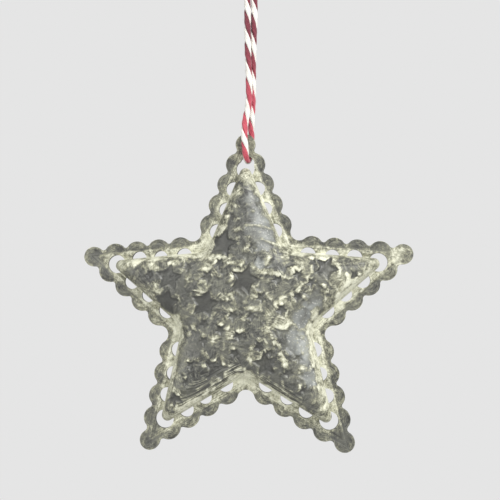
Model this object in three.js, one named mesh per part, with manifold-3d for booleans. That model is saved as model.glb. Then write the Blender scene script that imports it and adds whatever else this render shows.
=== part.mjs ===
// A puffed lace star ornament: two stampings of thin sheet metal tacked back to back, on a loop of twine.
// Millimetres, +Z up. The star lies in the XZ plane and faces -Y. The origin is where a hook holds the eye.
import * as THREE from "three";
import { mergeVertices } from "three/addons/utils/BufferGeometryUtils.js";
import Module from "manifold-3d";

// Star outline
const ARMS = 5;
const TIP_RADIUS = 49.7; // star centre to the centre of a tip scallop
const CORNER_RADIUS = 22.6; // star centre to where the scallops' centre lines of two arms meet
const SCALLOPS_PER_SIDE = 5; // steps from a tip scallop to that meeting point
const SCALLOP_RADIUS = 3.4;
const TIP_SCALLOP_RADIUS = 3.05;
const NOTCH_FILLET = 0.97; // rounding between two side scallops
const TIP_NOTCH_FILLET = 1.3; // rounding between a tip scallop and its neighbour
const CORNER_EDGE_RADIUS = 25.1; // star centre to the sheet's edge between two arms

// Sheet, seam and dome
const SHEET = 0.4;
const SEAM_GAP = 0.3; // between the two rims, filled only at the tacks
const DOME_HEIGHT = 7.5; // above the rim's face, at the middle of the star
const DOME_SOFTNESS = 1.5; // distance from the dome's foot at which half the height is reached
const FOOT_INSET = 1.83; // scallops' centre line to the dome's foot
const FOOT_TIP_RADIUS = 1.75;
const FOOT_CORNER_RADIUS = 6;

// Pierced lace: each hole is a circle that the dome's foot cuts off
const SIDE_HOLES = [
  { scallop: 2, shift: 0.58, inset: 2.05, radius: 2.3 },
  { scallop: 3, shift: 0.46, inset: 2.39, radius: 2.2 },
  { scallop: 4, shift: 0.99, inset: 2.46, radius: 2.4 },
];
const TIP_HOLE_DISTANCE = 42; // star centre to the tip hole's centre
const TIP_HOLE_RADIUS = 2.8;
const HANGING_HOLE_OFFSET = 0.6; // the top hole is worn to this side by the twine
const HANGING_HOLE_DISTANCE = 43.7;
const HANGING_HOLE_RADIUS = 2.15;

// Solder tacks
const TACK_RADIUS = 1.2;

// Twine and where it hangs
const TWINE_DIAMETER = 1.75;
const STAR_DROP = 111; // hook to star centre
const KNOT_RADIUS = 2.6;
const KNOT_NECK_RADIUS = 2.0;
const KNOT_BOTTOM = 1.3;
const KNOT_HEIGHT = 5;

// The twine's route, from the hook down. Each list is one stretch, and the next starts 0.3 mm further on.
const EYE_LEFT = [
  [-1.03, 0, 1],
  [-1.05, 0, -0.1],
  [-1.6, -0.01, -1.6],
  [-2.55, -0.05, -3.4],
  [-2.95, -0.1, -5.4],
  [-2.55, -0.16, -7.4],
  [-1.35, -0.22, -9.3],
  [-0.1, -0.27, -10.8],
  [0.55, -0.3, -12.1],
  [0.66, -0.3, -13.2],
];
const EYE_RIGHT = [
  [1.03, 0, 1],
  [1.06, 0, -0.1],
  [1.75, 0.01, -1.6],
  [2.85, 0.05, -3.4],
  [3.55, 0.1, -5.4],
  [3.75, 0.16, -7.4],
  [3.55, 0.22, -9.3],
  [3.15, 0.27, -10.8],
  [2.86, 0.3, -12.1],
  [2.8, 0.3, -13.2],
];
const PAIR_LEFT = [
  [0.66, -0.3, -13.5],
  [0.68, -0.28, -16],
  [0.69, -0.27, -19.1],
  [0.75, -0.45, -25.3],
  [0.85, -0.72, -31.4],
  [1.03, -0.86, -37],
  [1.18, -0.92, -42.5],
  [1.18, -0.94, -47],
  [0.8, -0.94, -50.2],
  [0.24, -0.97, -53.1],
];
const PAIR_RIGHT = [
  [2.8, 0.3, -13.5],
  [2.83, 0.28, -16],
  [2.82, 0.27, -19.1],
  [2.62, 0.45, -25.3],
  [2.36, 0.72, -31.4],
  [2.24, 0.86, -37],
  [2.17, 0.92, -42.5],
  [2.12, 0.94, -47],
  [1.95, 0.94, -50.2],
  [1.76, 0.97, -53.1],
];
const BIGHT = [
  [0.18, -1, -53.4],
  [-0.12, -1.32, -55.6],
  [-0.22, -1.7, -57.6],
  [-0.2, -1.98, -59.5],
  [-0.02, -2.2, -61.7],
  [0.2, -2.28, -64.25],
  [0.32, -1.6, -65.85],
  [0.55, 0, -66.52],
  [0.88, 1.6, -65.85],
  [1.25, 2.28, -64.25],
  [1.5, 2.2, -61.7],
  [1.6, 1.98, -59.5],
  [1.62, 1.7, -57.6],
  [1.68, 1.32, -55.6],
  [1.74, 1, -53.4],
];
const TAIL_LEFT = [
  [-1, 0, 6.6],
  [-1.08, -0.03, 8.4],
  [-1.7, -0.2, 11],
  [-2.6, -0.4, 13.6],
];
const TAIL_RIGHT = [
  [1, 0, 6.6],
  [1.08, 0.05, 8.2],
  [1.9, 0.3, 10.8],
  [3, 0.5, 12.9],
];

// Fineness of the faceted solids
const OUTLINE_STEP = 1.5; // mm between points on a round stretch of the outline
const HOLE_SIDES = 16;
const TACK_SIDES = 12;
const DOME_RINGS = 7;
const FOOT_ARC_STEPS = 2;
const FOOT_EDGE_STEPS = 3;
const TWINE_SIDES = 8;
const TWINE_STEP = 2.3; // twine diameters between two rings of a tube
const CLOSE_TWINE_STEP = 0.8; // the same in the eye, the tails and the bight, which turn within a few millimetres
const KNOT_SIDES = 14;

const wasm = await Module();
wasm.setup();

// Closed geometry as a manifold-3d solid
function solidOf(geometry) {
  const bare = geometry.clone();
  bare.deleteAttribute("normal");
  bare.deleteAttribute("uv");
  const merged = mergeVertices(bare, 1e-4);
  const mesh = new wasm.Mesh({
    numProp: 3,
    vertProperties: merged.attributes.position.array,
    triVerts: new Uint32Array(merged.index.array),
  });
  return new wasm.Manifold(mesh);
}

function geometryOf(solid) {
  const mesh = solid.getMesh();
  const geometry = new THREE.BufferGeometry();
  geometry.setAttribute("position", new THREE.BufferAttribute(mesh.vertProperties, 3));
  geometry.setIndex(new THREE.BufferAttribute(mesh.triVerts, 1));
  const faceted = geometry.toNonIndexed();
  faceted.computeVertexNormals();
  return faceted;
}

// The star's own frame: x along an arm, y across it
const halfTurn = Math.PI / ARMS; // angle from an arm's axis to the corner beside it
const tipPoint = new THREE.Vector2(TIP_RADIUS, 0);
const cornerPoint = new THREE.Vector2(CORNER_RADIUS * Math.cos(halfTurn), CORNER_RADIUS * Math.sin(halfTurn));
const sideDirection = cornerPoint.clone().sub(tipPoint).normalize();
const sideOutward = new THREE.Vector2(sideDirection.y, -sideDirection.x);
const sideAngle = Math.atan2(sideDirection.y, -sideDirection.x); // between an arm's axis and its side
const scallopSpacing = tipPoint.distanceTo(cornerPoint) / SCALLOPS_PER_SIDE;

function scallopCentre(index) {
  return tipPoint.clone().addScaledVector(sideDirection, index * scallopSpacing);
}

function scallopRadius(index) {
  return index === 0 ? TIP_SCALLOP_RADIUS : SCALLOP_RADIUS;
}

function angleFrom(centre, point) {
  return Math.atan2(point.y - centre.y, point.x - centre.x);
}

// Points of an arc, both ends included
function arcPoints(centre, radius, start, end) {
  const steps = Math.max(2, Math.ceil((Math.abs(end - start) * radius) / OUTLINE_STEP));
  const points = [];
  for (let i = 0; i <= steps; i++) {
    const angle = start + ((end - start) * i) / steps;
    points.push(new THREE.Vector2(centre.x + radius * Math.cos(angle), centre.y + radius * Math.sin(angle)));
  }
  return points;
}

// Centre and radius of the rounding that touches two neighbouring scallops from outside
function notchBetween(index) {
  const first = scallopCentre(index);
  const reachFirst = scallopRadius(index);
  const reachSecond = scallopRadius(index + 1);
  const wanted = index === 0 ? TIP_NOTCH_FILLET : NOTCH_FILLET;
  const radius = Math.max(wanted, 0.53 * scallopSpacing - Math.min(reachFirst, reachSecond));
  const a = reachFirst + radius;
  const b = reachSecond + radius;
  const along = (scallopSpacing ** 2 + a ** 2 - b ** 2) / (2 * scallopSpacing);
  const out = Math.sqrt(a ** 2 - along ** 2);
  const centre = first.addScaledVector(sideDirection, along).addScaledVector(sideOutward, out);
  return { centre, radius };
}

// Centre and radius of the rounding between two arms, which touches the last scallop of each
function cornerRounding() {
  const last = scallopCentre(SCALLOPS_PER_SIDE - 1);
  const bisector = new THREE.Vector2(Math.cos(halfTurn), Math.sin(halfTurn));
  const along = last.dot(bisector);
  const across = Math.abs(last.cross(bisector));
  const back = CORNER_EDGE_RADIUS - along;
  const radius = (across ** 2 + back ** 2 - SCALLOP_RADIUS ** 2) / (2 * (SCALLOP_RADIUS - back));
  const centre = bisector.clone().multiplyScalar(CORNER_EDGE_RADIUS + radius);
  return { centre, radius };
}

// The sheet's edge from an arm's axis to the middle of the next corner
function halfArmOutline() {
  const points = [];
  let startAngle = 0;
  for (let i = 0; i < SCALLOPS_PER_SIDE; i++) {
    const centre = scallopCentre(i);
    const isLast = i === SCALLOPS_PER_SIDE - 1;
    const notch = isLast ? cornerRounding() : notchBetween(i);
    const endAngle = angleFrom(centre, notch.centre);
    points.push(...arcPoints(centre, scallopRadius(i), startAngle, endAngle));
    if (isLast) {
      points.push(...arcPoints(notch.centre, notch.radius, endAngle - Math.PI, halfTurn - Math.PI).slice(1));
    } else {
      const next = scallopCentre(i + 1);
      startAngle = angleFrom(next, notch.centre);
      points.push(...arcPoints(notch.centre, notch.radius, endAngle - Math.PI, startAngle - Math.PI).slice(1, -1));
    }
  }
  return points;
}

// A half arm, mirrored and repeated round the star, with the first arm pointing up
function roundTheStar(half) {
  const mirrored = half.map((p) => new THREE.Vector2(p.x, -p.y)).reverse();
  const arm = [...mirrored.slice(1, -1), ...half];
  const origin = new THREE.Vector2();
  const points = [];
  for (let i = 0; i < ARMS; i++) {
    const angle = Math.PI / 2 + 2 * halfTurn * i;
    points.push(...arm.map((p) => p.clone().rotateAround(origin, angle)));
  }
  return points;
}

// The dome's foot from an arm's axis to the middle of the next corner
const footDistance = TIP_RADIUS * Math.sin(sideAngle) - FOOT_INSET; // star centre to the foot's straight sides

function halfFoot() {
  const tipCentre = new THREE.Vector2((footDistance - FOOT_TIP_RADIUS) / Math.sin(sideAngle), 0);
  const cornerReach = (footDistance + FOOT_CORNER_RADIUS) / Math.sin(halfTurn + sideAngle);
  const cornerCentre = new THREE.Vector2(Math.cos(halfTurn), Math.sin(halfTurn)).multiplyScalar(cornerReach);
  const outwardAngle = Math.PI / 2 - sideAngle;
  const onArc = (centre, radius, start, end) => {
    const points = [];
    for (let i = 0; i <= FOOT_ARC_STEPS; i++) {
      const angle = start + ((end - start) * i) / FOOT_ARC_STEPS;
      points.push(new THREE.Vector2(Math.cos(angle), Math.sin(angle)).multiplyScalar(radius).add(centre));
    }
    return points;
  };
  const tip = onArc(tipCentre, FOOT_TIP_RADIUS, 0, outwardAngle);
  const corner = onArc(cornerCentre, FOOT_CORNER_RADIUS, outwardAngle - Math.PI, halfTurn - Math.PI);
  const edge = [];
  for (let i = 1; i < FOOT_EDGE_STEPS; i++) {
    edge.push(tip[FOOT_ARC_STEPS].clone().lerp(corner[0], i / FOOT_EDGE_STEPS));
  }
  return [...tip, ...edge, ...corner];
}

// Height of the dome above the rim's face, and its slope, at a distance inside the foot
function domeHeight(distance) {
  const full = 1 + DOME_SOFTNESS / footDistance;
  return (DOME_HEIGHT * full * distance) / (distance + DOME_SOFTNESS);
}

function domeSlope(distance) {
  const full = 1 + DOME_SOFTNESS / footDistance;
  return (DOME_HEIGHT * full * DOME_SOFTNESS) / (distance + DOME_SOFTNESS) ** 2;
}

// A closed solid through copies of the foot: each ring has its scale and its height
function loft(foot, rings, topHeight) {
  const positions = [];
  const count = foot.length;
  const place = (ring, i) => {
    const p = foot[i % count];
    return [p.x * ring.scale, p.y * ring.scale, ring.height];
  };
  const bottom = [0, 0, rings[0].height];
  const top = [0, 0, topHeight];
  for (let i = 0; i < count; i++) {
    positions.push(...bottom, ...place(rings[0], i + 1), ...place(rings[0], i));
    for (let k = 0; k + 1 < rings.length; k++) {
      const a = place(rings[k], i);
      const b = place(rings[k], i + 1);
      const c = place(rings[k + 1], i + 1);
      const d = place(rings[k + 1], i);
      positions.push(...a, ...b, ...c, ...a, ...c, ...d);
    }
    const last = rings[rings.length - 1];
    positions.push(...place(last, i), ...place(last, i + 1), ...top);
  }
  const geometry = new THREE.BufferGeometry();
  geometry.setAttribute("position", new THREE.Float32BufferAttribute(positions, 3));
  return geometry;
}

const rimBack = SEAM_GAP / 2;
const rimFace = rimBack + SHEET;

function domeOutside(foot) {
  const rings = [{ scale: 1, height: rimBack }];
  for (let i = 0; i < DOME_RINGS; i++) {
    const distance = footDistance * (i / DOME_RINGS) ** 2;
    rings.push({ scale: 1 - distance / footDistance, height: rimFace + domeHeight(distance) });
  }
  return loft(foot, rings, rimFace + DOME_HEIGHT);
}

// The hollow, one sheet thickness inside the dome, open through the rim's back
function domeInside(foot) {
  const rings = [];
  for (let i = 0; i < DOME_RINGS; i++) {
    const distance = footDistance * (i / DOME_RINGS) ** 2;
    const tilt = Math.atan(domeSlope(distance));
    const inward = distance + SHEET * Math.sin(tilt);
    rings.push({
      scale: 1 - inward / footDistance,
      height: rimFace + domeHeight(distance) - SHEET * Math.cos(tilt),
    });
  }
  rings.unshift({ scale: rings[0].scale, height: rimBack - SHEET });
  return loft(foot, rings, rimFace + DOME_HEIGHT - SHEET);
}

// A round punch through the rim
function punch(x, y, radius) {
  const geometry = new THREE.CylinderGeometry(radius, radius, 4 * SHEET, HOLE_SIDES);
  geometry.rotateX(Math.PI / 2);
  geometry.translate(x, y, rimBack + SHEET / 2);
  return solidOf(geometry);
}

// One punch per lace hole, and the worn one at the top; side is 1 where the star's right is +x
function punches(side) {
  const made = [];
  for (let arm = 0; arm < ARMS; arm++) {
    const angle = Math.PI / 2 + 2 * halfTurn * arm;
    const add = (x, y, radius) => {
      const p = new THREE.Vector2(x, y).rotateAround(new THREE.Vector2(), angle);
      made.push(punch(p.x, p.y, radius));
    };
    add(TIP_HOLE_DISTANCE, 0, TIP_HOLE_RADIUS);
    for (const hole of SIDE_HOLES) {
      const centre = scallopCentre(hole.scallop);
      centre.addScaledVector(sideDirection, hole.shift).addScaledVector(sideOutward, -hole.inset);
      add(centre.x, centre.y, hole.radius);
      add(centre.x, -centre.y, hole.radius);
    }
  }
  made.push(punch(side * HANGING_HOLE_OFFSET, HANGING_HOLE_DISTANCE, HANGING_HOLE_RADIUS));
  return made;
}

// One stamping: the flat scalloped rim with its holes, and the hollow dome that rises from it
function stamping(side) {
  const outline = new THREE.Shape(roundTheStar(halfArmOutline()));
  const plate = new THREE.ExtrudeGeometry(outline, { depth: SHEET, bevelEnabled: false });
  plate.translate(0, 0, rimBack);
  const foot = roundTheStar(halfFoot());
  let solid = solidOf(plate);
  for (const hole of punches(side)) solid = solid.subtract(hole);
  solid = solid.add(solidOf(domeOutside(foot))).subtract(solidOf(domeInside(foot)));
  return geometryOf(solid);
}

// A stretch of twine: a plain tube along its points
function tube(points, step) {
  const path = new THREE.CatmullRomCurve3(
    points.map((p) => new THREE.Vector3(...p)),
    false,
    "catmullrom",
  );
  const section = new THREE.Shape();
  section.absarc(0, 0, TWINE_DIAMETER / 2, 0, 2 * Math.PI);
  const outline = new THREE.Shape(section.getSpacedPoints(TWINE_SIDES).slice(0, -1));
  const steps = Math.ceil(path.getLength() / (step * TWINE_DIAMETER));
  return new THREE.ExtrudeGeometry(outline, { steps, extrudePath: path, bevelEnabled: false });
}

// The knot's outer shape, a short barrel
function knotShape() {
  const top = KNOT_BOTTOM + KNOT_HEIGHT;
  const shoulder = KNOT_HEIGHT / 4;
  const profile = [
    new THREE.Vector2(0, KNOT_BOTTOM),
    new THREE.Vector2(KNOT_NECK_RADIUS, KNOT_BOTTOM),
    new THREE.Vector2(KNOT_RADIUS, KNOT_BOTTOM + shoulder),
    new THREE.Vector2(KNOT_RADIUS, top - shoulder),
    new THREE.Vector2(KNOT_NECK_RADIUS, top),
    new THREE.Vector2(0, top),
  ];
  const geometry = new THREE.LatheGeometry(profile, KNOT_SIDES);
  geometry.rotateX(Math.PI / 2);
  return geometry;
}

const agedSheet = new THREE.MeshStandardMaterial({ color: 0x6f7068, roughness: 0.5, metalness: 0.8 });
const solder = new THREE.MeshStandardMaterial({ color: 0x9a9c9a, roughness: 0.4, metalness: 0.9 });
const twine = new THREE.MeshStandardMaterial({ color: 0xd9a9a6, roughness: 0.95, metalness: 0 });

const ornament = new THREE.Group();
const star = new THREE.Group();
star.position.z = -STAR_DROP;
ornament.add(star);

function addTo(group, name, geometry, material) {
  const mesh = new THREE.Mesh(geometry, material);
  mesh.name = name;
  group.add(mesh);
  return mesh;
}

// The stampings are made lying down, face up, and stand up with their faces out
const frontHalf = new THREE.Group();
frontHalf.rotation.x = Math.PI / 2;
addTo(frontHalf, "front_shell", stamping(1), agedSheet);
const backHalf = new THREE.Group();
backHalf.rotation.x = Math.PI / 2;
const turnedRound = new THREE.Group();
turnedRound.rotation.z = Math.PI;
addTo(backHalf, "back_shell", stamping(-1), agedSheet);
turnedRound.add(backHalf);
star.add(frontHalf, turnedRound);

for (let arm = 0; arm < ARMS; arm++) {
  const angle = Math.PI / 2 + 2 * halfTurn * arm;
  const tack = new THREE.CylinderGeometry(TACK_RADIUS, TACK_RADIUS, SEAM_GAP, TACK_SIDES);
  const mesh = addTo(star, "solder_spot_" + (arm + 1), tack, solder);
  mesh.position.set(TIP_RADIUS * Math.cos(angle), 0, TIP_RADIUS * Math.sin(angle));
}

addTo(ornament, "twine_knot", knotShape(), twine);
addTo(ornament, "twine_tail_left", tube(TAIL_LEFT, CLOSE_TWINE_STEP), twine);
addTo(ornament, "twine_tail_right", tube(TAIL_RIGHT, CLOSE_TWINE_STEP), twine);
addTo(ornament, "twine_eye_left", tube(EYE_LEFT, CLOSE_TWINE_STEP), twine);
addTo(ornament, "twine_eye_right", tube(EYE_RIGHT, CLOSE_TWINE_STEP), twine);
addTo(ornament, "twine_left", tube(PAIR_LEFT, TWINE_STEP), twine);
addTo(ornament, "twine_right", tube(PAIR_RIGHT, TWINE_STEP), twine);
addTo(ornament, "twine_bight", tube(BIGHT, CLOSE_TWINE_STEP), twine);

export default ornament;
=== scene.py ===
"""The looks of a puffed lace star ornament: aged, embossed sheet metal on a loop of red and white twine.

Lists of places are in millimetres. The star's own x runs right and its z runs up, from the star's centre.
Meshes are in metres, in the same frame as the CAD model.
"""
import math

import bpy
import numpy as np
from mathutils import Matrix, Vector, geometry, kdtree, noise


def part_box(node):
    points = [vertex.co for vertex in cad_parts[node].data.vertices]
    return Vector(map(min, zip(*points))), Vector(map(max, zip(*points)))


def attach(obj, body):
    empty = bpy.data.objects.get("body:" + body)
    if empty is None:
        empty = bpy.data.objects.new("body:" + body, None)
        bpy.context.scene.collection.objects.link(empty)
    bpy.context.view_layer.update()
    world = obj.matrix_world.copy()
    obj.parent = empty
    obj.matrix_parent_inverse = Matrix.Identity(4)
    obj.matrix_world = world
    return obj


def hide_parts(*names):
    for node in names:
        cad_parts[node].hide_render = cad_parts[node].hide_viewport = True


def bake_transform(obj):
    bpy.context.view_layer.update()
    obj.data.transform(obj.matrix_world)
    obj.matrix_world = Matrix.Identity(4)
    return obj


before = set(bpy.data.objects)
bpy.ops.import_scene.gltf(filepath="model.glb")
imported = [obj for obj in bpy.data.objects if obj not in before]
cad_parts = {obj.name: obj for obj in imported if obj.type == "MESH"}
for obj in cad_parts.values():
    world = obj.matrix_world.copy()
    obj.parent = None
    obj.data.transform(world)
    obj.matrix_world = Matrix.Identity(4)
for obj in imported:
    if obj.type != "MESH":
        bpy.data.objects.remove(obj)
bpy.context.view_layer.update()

MM = 0.001

# Camera: its place in metres, and how far it is turned from a level look along +Y, in degrees
CAMERA_PLACE = (0.01879, -0.21087, -0.10948)
CAMERA_YAW = 4.745
CAMERA_TILT = 4.194
CAMERA_ROLL = 0.137
LENS = 50
SENSOR = 36
CLIP_START = 0.01

# Light and surroundings, in metres and watts: a light has a name, a place, a width and a power
LIGHTS = [("key", (0.42, -0.5, 0.3), 0.45, 5.5), ("fill", (-0.5, -0.45, -0.05), 0.5, 1.6)]
BACKDROP_GREY = 0.7835
SKY_DARK = (0.34, 0.34, 0.345, 1)
SKY_BRIGHT = (0.9, 0.9, 0.9, 1)
SKY_UPWARD = (-0.6, 0.9)  # heights in the sky, from -1 to 1, between which it goes from dark to bright
SKY_RIGHTWARD = (-0.8, 0.9)  # the same from left to right
FLOOR_GREY = 0.72
FLOOR_RADIUS = 1.3
FLOOR_LEVEL = -0.62
FLOOR_SIDES = 64

# Star, in millimetres
ARMS = 5
TIP_RADIUS = 49.7
CORNER_RADIUS = 22.6
SCALLOPS_PER_SIDE = 5
SCALLOP_RADIUS = 3.4
TIP_SCALLOP_RADIUS = 3.05
NOTCH_FILLET = 0.97
TIP_NOTCH_FILLET = 1.3
NOTCH_REACH = 0.53  # least reach of a scallop and its rounding together, as a share of the spacing
CORNER_EDGE_RADIUS = 25.1
SHEET = 0.4
SEAM_GAP = 0.3
DOME_HEIGHT = 7.1  # of the plain dome, which the embossing stands on
DOME_SOFTNESS = 1.5  # how far in from its foot the dome has about half its height
FOOT_INSET = 1.83
FOOT_TIP_RADIUS = 1.75
FOOT_CORNER_RADIUS = 6
SIDE_HOLES = [  # scallop, shift along the side, inset from it, radius
    (2, 0.58, 2.05, 2.3), (3, 0.46, 2.39, 2.2), (4, 0.99, 2.46, 2.4),
]
TIP_HOLE_DISTANCE = 42
TIP_HOLE_RADIUS = 2.8
HANGING_HOLE = (0.6, 43.7, 2.15)  # x, height above the star's centre, radius
STAR_DROP = 111

# Solder tacks: the profile gives shares of the radius and levels, from -1 at one sheet to 1 at the other
TACK_RADIUS = 1.2
TACK_PROFILE = [(0.94, -1), (1, -0.93), (0.93, -0.6), (0.88, 0), (0.93, 0.6), (1, 0.93), (0.94, 1)]
TACK_RAGGED = 0.03
TACK_SIDES = 40

# Fineness of the stampings
EDGE_STEP = 0.3
GRID = 0.36
GRID_CLEARANCE = 0.55  # how far the grid's points keep from the edges, as a share of GRID
HOLE_SIDES = 44
SMOOTHING_ROUNDS = 90  # these even out the dome's ridges away from its foot

# Twine, in millimetres: the route that the CAD model has, from the hook down
TWINE_DIAMETER = 1.75
EYE_LEFT = [
    (-1.03, 0, 1), (-1.05, 0, -0.1), (-1.6, -0.01, -1.6), (-2.55, -0.05, -3.4), (-2.95, -0.1, -5.4),
    (-2.55, -0.16, -7.4), (-1.35, -0.22, -9.3), (-0.1, -0.27, -10.8), (0.55, -0.3, -12.1),
    (0.66, -0.3, -13.2),
]
EYE_RIGHT = [
    (1.03, 0, 1), (1.06, 0, -0.1), (1.75, 0.01, -1.6), (2.85, 0.05, -3.4), (3.55, 0.1, -5.4),
    (3.75, 0.16, -7.4), (3.55, 0.22, -9.3), (3.15, 0.27, -10.8), (2.86, 0.3, -12.1), (2.8, 0.3, -13.2),
]
PAIR_LEFT = [
    (0.66, -0.3, -13.5), (0.68, -0.28, -16), (0.69, -0.27, -19.1), (0.75, -0.45, -25.3),
    (0.85, -0.72, -31.4), (1.03, -0.86, -37), (1.18, -0.92, -42.5), (1.18, -0.94, -47),
    (0.8, -0.94, -50.2), (0.24, -0.97, -53.1),
]
PAIR_RIGHT = [
    (2.8, 0.3, -13.5), (2.83, 0.28, -16), (2.82, 0.27, -19.1), (2.62, 0.45, -25.3), (2.36, 0.72, -31.4),
    (2.24, 0.86, -37), (2.17, 0.92, -42.5), (2.12, 0.94, -47), (1.95, 0.94, -50.2), (1.76, 0.97, -53.1),
]
BIGHT = [
    (0.18, -1, -53.4), (-0.12, -1.32, -55.6), (-0.22, -1.7, -57.6), (-0.2, -1.98, -59.5),
    (-0.02, -2.2, -61.7), (0.2, -2.28, -64.25), (0.32, -1.6, -65.85), (0.55, 0, -66.52),
    (0.88, 1.6, -65.85), (1.25, 2.28, -64.25), (1.5, 2.2, -61.7), (1.6, 1.98, -59.5), (1.62, 1.7, -57.6),
    (1.68, 1.32, -55.6), (1.74, 1, -53.4),
]
TAIL_LEFT = [(-1, 0, 6.6), (-1.08, -0.03, 8.4), (-1.7, -0.2, 11), (-2.6, -0.4, 13.6)]
TAIL_RIGHT = [(1, 0, 6.6), (1.08, 0.05, 8.2), (1.9, 0.3, 10.8), (3, 0.5, 12.9)]
KNOT_CORE_LEFT = [(-0.72, 0, 5), (-0.72, 0, 2.6)]
KNOT_CORE_RIGHT = [(0.72, 0, 2.6), (0.72, 0, 5)]
CUT_HEIGHT = -36  # the two ends and the bight are separate pieces, which meet here

# Lay of the twine: heights where the red ply faces the camera, and the lay elsewhere
RED_FRONT_LEFT = [-23.6, -33.7, -45.9, -55.6]
RED_FRONT_RIGHT = [-56.9, -46.2, -34.9, -24.3, -13.5]
BIGHT_TURNS = 2.5  # turns of the plies from the last of the left list to the first of the right
LAY = 10.6
RING_STEP = 0.4
ROUTE_STEPS = 40  # steps from one point of a route to the next, before it is divided into rings
SECTION_SIDES = 32
SPREAD = 1.12  # the soft plies spread a little past the twine's nominal size
SQUEEZE = 0.14  # how much thinner the twine is at the foot of the bight, where it bears on the star
SQUEEZE_REACH = 1.8  # how far up the bight that reaches
PLY_OFFSET = 0.45  # one ply's middle, its half width and its half height, as shares of the twine's radius
PLY_HALF_WIDTH = 0.55
PLY_HALF_HEIGHT = 0.9
RED_SHADE_TOP = -22  # painted shade: the red is at its darkest above this height and at its lightest below the next one
RED_LIT_BOTTOM = -60

# Turns of the knot, with their ends tucked in under them
WRAP_TURNS = 2.35
WRAP_STEPS = 60
WRAP_START = 200  # degrees
WRAP_FOOT = 2.1
WRAP_RISE = 3.4
WRAP_INNER_REACH = 0.9
WRAP_BULGE = 1.02
WRAP_TUCK = 6  # each end is tucked in along one part in this many
WRAP_TWINE_RADIUS = 0.82  # pulled tight, the twine is thinner here

# Loose fibres: how many there are in a square millimetre, their length, and their lean in radians
FUZZ = (0.9, 0.75, 1.0)
FRAY = (22, 2.4, 0.5)
FRAY_SEED = 40
FRAY_BASE_RADIUS = 0.6
FRAY_BASE_SIDES = 12
FIBRE_RADIUS = 0.012
FIBRE_SECTION = 3
FIBRE_STEPS = 4
FIBRE_BOW = 0.28  # as a share of the length
FIBRE_SHORTEST = 0.45  # as a share of the longest
FIBRE_TURN_SEED = 11.0  # these are added to the seed, so that a fibre's turn and its length are drawn apart
FIBRE_LENGTH_SEED = 23.0


# Node trees

class Tree:
    """Adds nodes to a node tree and links them."""

    def __init__(self, tree):
        self.tree = tree

    def feed(self, socket, value):
        """Gives an input a value or a link"""
        if isinstance(value, bpy.types.NodeSocket):
            self.tree.links.new(value, socket)
        else:
            socket.default_value = value

    def add(self, kind, inputs=None, **settings):
        node = self.tree.nodes.new(kind)
        for name, value in settings.items():
            setattr(node, name, value)
        for key, value in (inputs or {}).items():
            self.feed(node.inputs[key], value)
        return node

    def math(self, operation, a, b=0.0, clamp=False):
        return self.add("ShaderNodeMath", {0: a, 1: b}, operation=operation, use_clamp=clamp).outputs[0]

    def total(self, first, *others):
        """All of the values added up, in the order given"""
        for other in others:
            first = self.math("ADD", first, other)
        return first

    def minus(self, a, b):
        return self.math("SUBTRACT", a, b)

    def times(self, a, b):
        return self.math("MULTIPLY", a, b)

    def over(self, a, b):
        return self.math("DIVIDE", a, b)

    def between(self, value, low, high, new_low=0.0, new_high=1.0):
        """value from low to high, eased, as new_low to new_high"""
        inputs = {"Value": value, "From Min": low, "From Max": high, "To Min": new_low, "To Max": new_high}
        return self.add("ShaderNodeMapRange", inputs, interpolation_type="SMOOTHSTEP").outputs["Result"]

    def mix(self, factor, a, b):
        node = self.add("ShaderNodeMix", data_type="RGBA")
        for socket, value in zip((node.inputs[0], node.inputs[6], node.inputs[7]), (factor, a, b)):
            self.feed(socket, value)
        return node.outputs[2]

    def noise(self, vector, size, detail=2.0, roughness=0.5):
        """Noise whose lumps are about size wide, on a vector in millimetres"""
        inputs = {"Vector": vector, "Scale": 1 / size, "Detail": detail, "Roughness": roughness}
        return self.add("ShaderNodeTexNoise", inputs).outputs["Fac"]

    def stretched(self, vector, scale, turn=(0, 0, 0)):
        return self.add("ShaderNodeMapping", {"Vector": vector, "Scale": scale, "Rotation": turn}).outputs[0]

    def attribute(self, name, output="Fac"):
        return self.add("ShaderNodeAttribute", attribute_name=name).outputs[output]

    def millimetres(self):
        place = self.add("ShaderNodeTexCoord").outputs["Object"]
        return self.stretched(place, (1 / MM, 1 / MM, 1 / MM))


def colour(code):
    """A hex colour as the renderer's linear one"""
    parts = [int(code[i:i + 2], 16) / 255 for i in (1, 3, 5)]
    linear = [p / 12.92 if p <= 0.04045 else ((p + 0.055) / 1.055) ** 2.4 for p in parts]
    return (*linear, 1)


def new_material(name):
    material = bpy.data.materials.new(name)
    material.use_nodes = True
    tree = Tree(material.node_tree)
    return material, tree, material.node_tree.nodes["Principled BSDF"]


def wire(tree, shader, **inputs):
    for name, value in inputs.items():
        tree.feed(shader.inputs[name.replace("_", " ")], value)


# Materials

# Greys and creams of the sheet
DULL_DARK = "#41413e"
DULL_PALE = "#7f807a"
DULL_OLIVE = "#777768"
DEEP_GREY = "#4a4a47"
# painted sheen and a painted gleam: lighter greys that stand in for light mirrored by the smooth metal
SHEEN_PAINT_DARK = "#7b7d7a"
SHEEN_PAINT_PALE = "#8b8e8a"
PAINTED_GLEAM = "#a8aba6"
CREAM_THIN = "#8a8972"
CREAM_THICK = "#e3e3ce"
CREAM_YELLOW = "#c9c59c"
# painted glints: a near-white for tiny highlights on the smooth metal
GLINT_PAINT = "#dcdcd0"

# Sizes of the sheet's patterns, in millimetres, and how the brush marks are drawn out
RIM_BRUSH = (0.16, 0.16, 3.2)
FACE_BRUSH = (0.8, 1, 1.9)
FACE_BRUSH_SLANT = (0, 0.3, 0)
FACE_BRUSH_SHARE = 0.45
WANDER_SCALE = 0.12
WANDER_REACH = (4, 4, 4)
CLOUD_SIZE = 4.2
SCUFF_SIZE = 1.6
SPECKLE_SIZE = 1.0
GLINT_SIZE = 0.5
GRIT_SIZE = 0.3
DRAWN_STRENGTH = 3.5  # how strongly the drawn lines break up the cream
BUMP_DISTANCE = 0.00012

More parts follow.
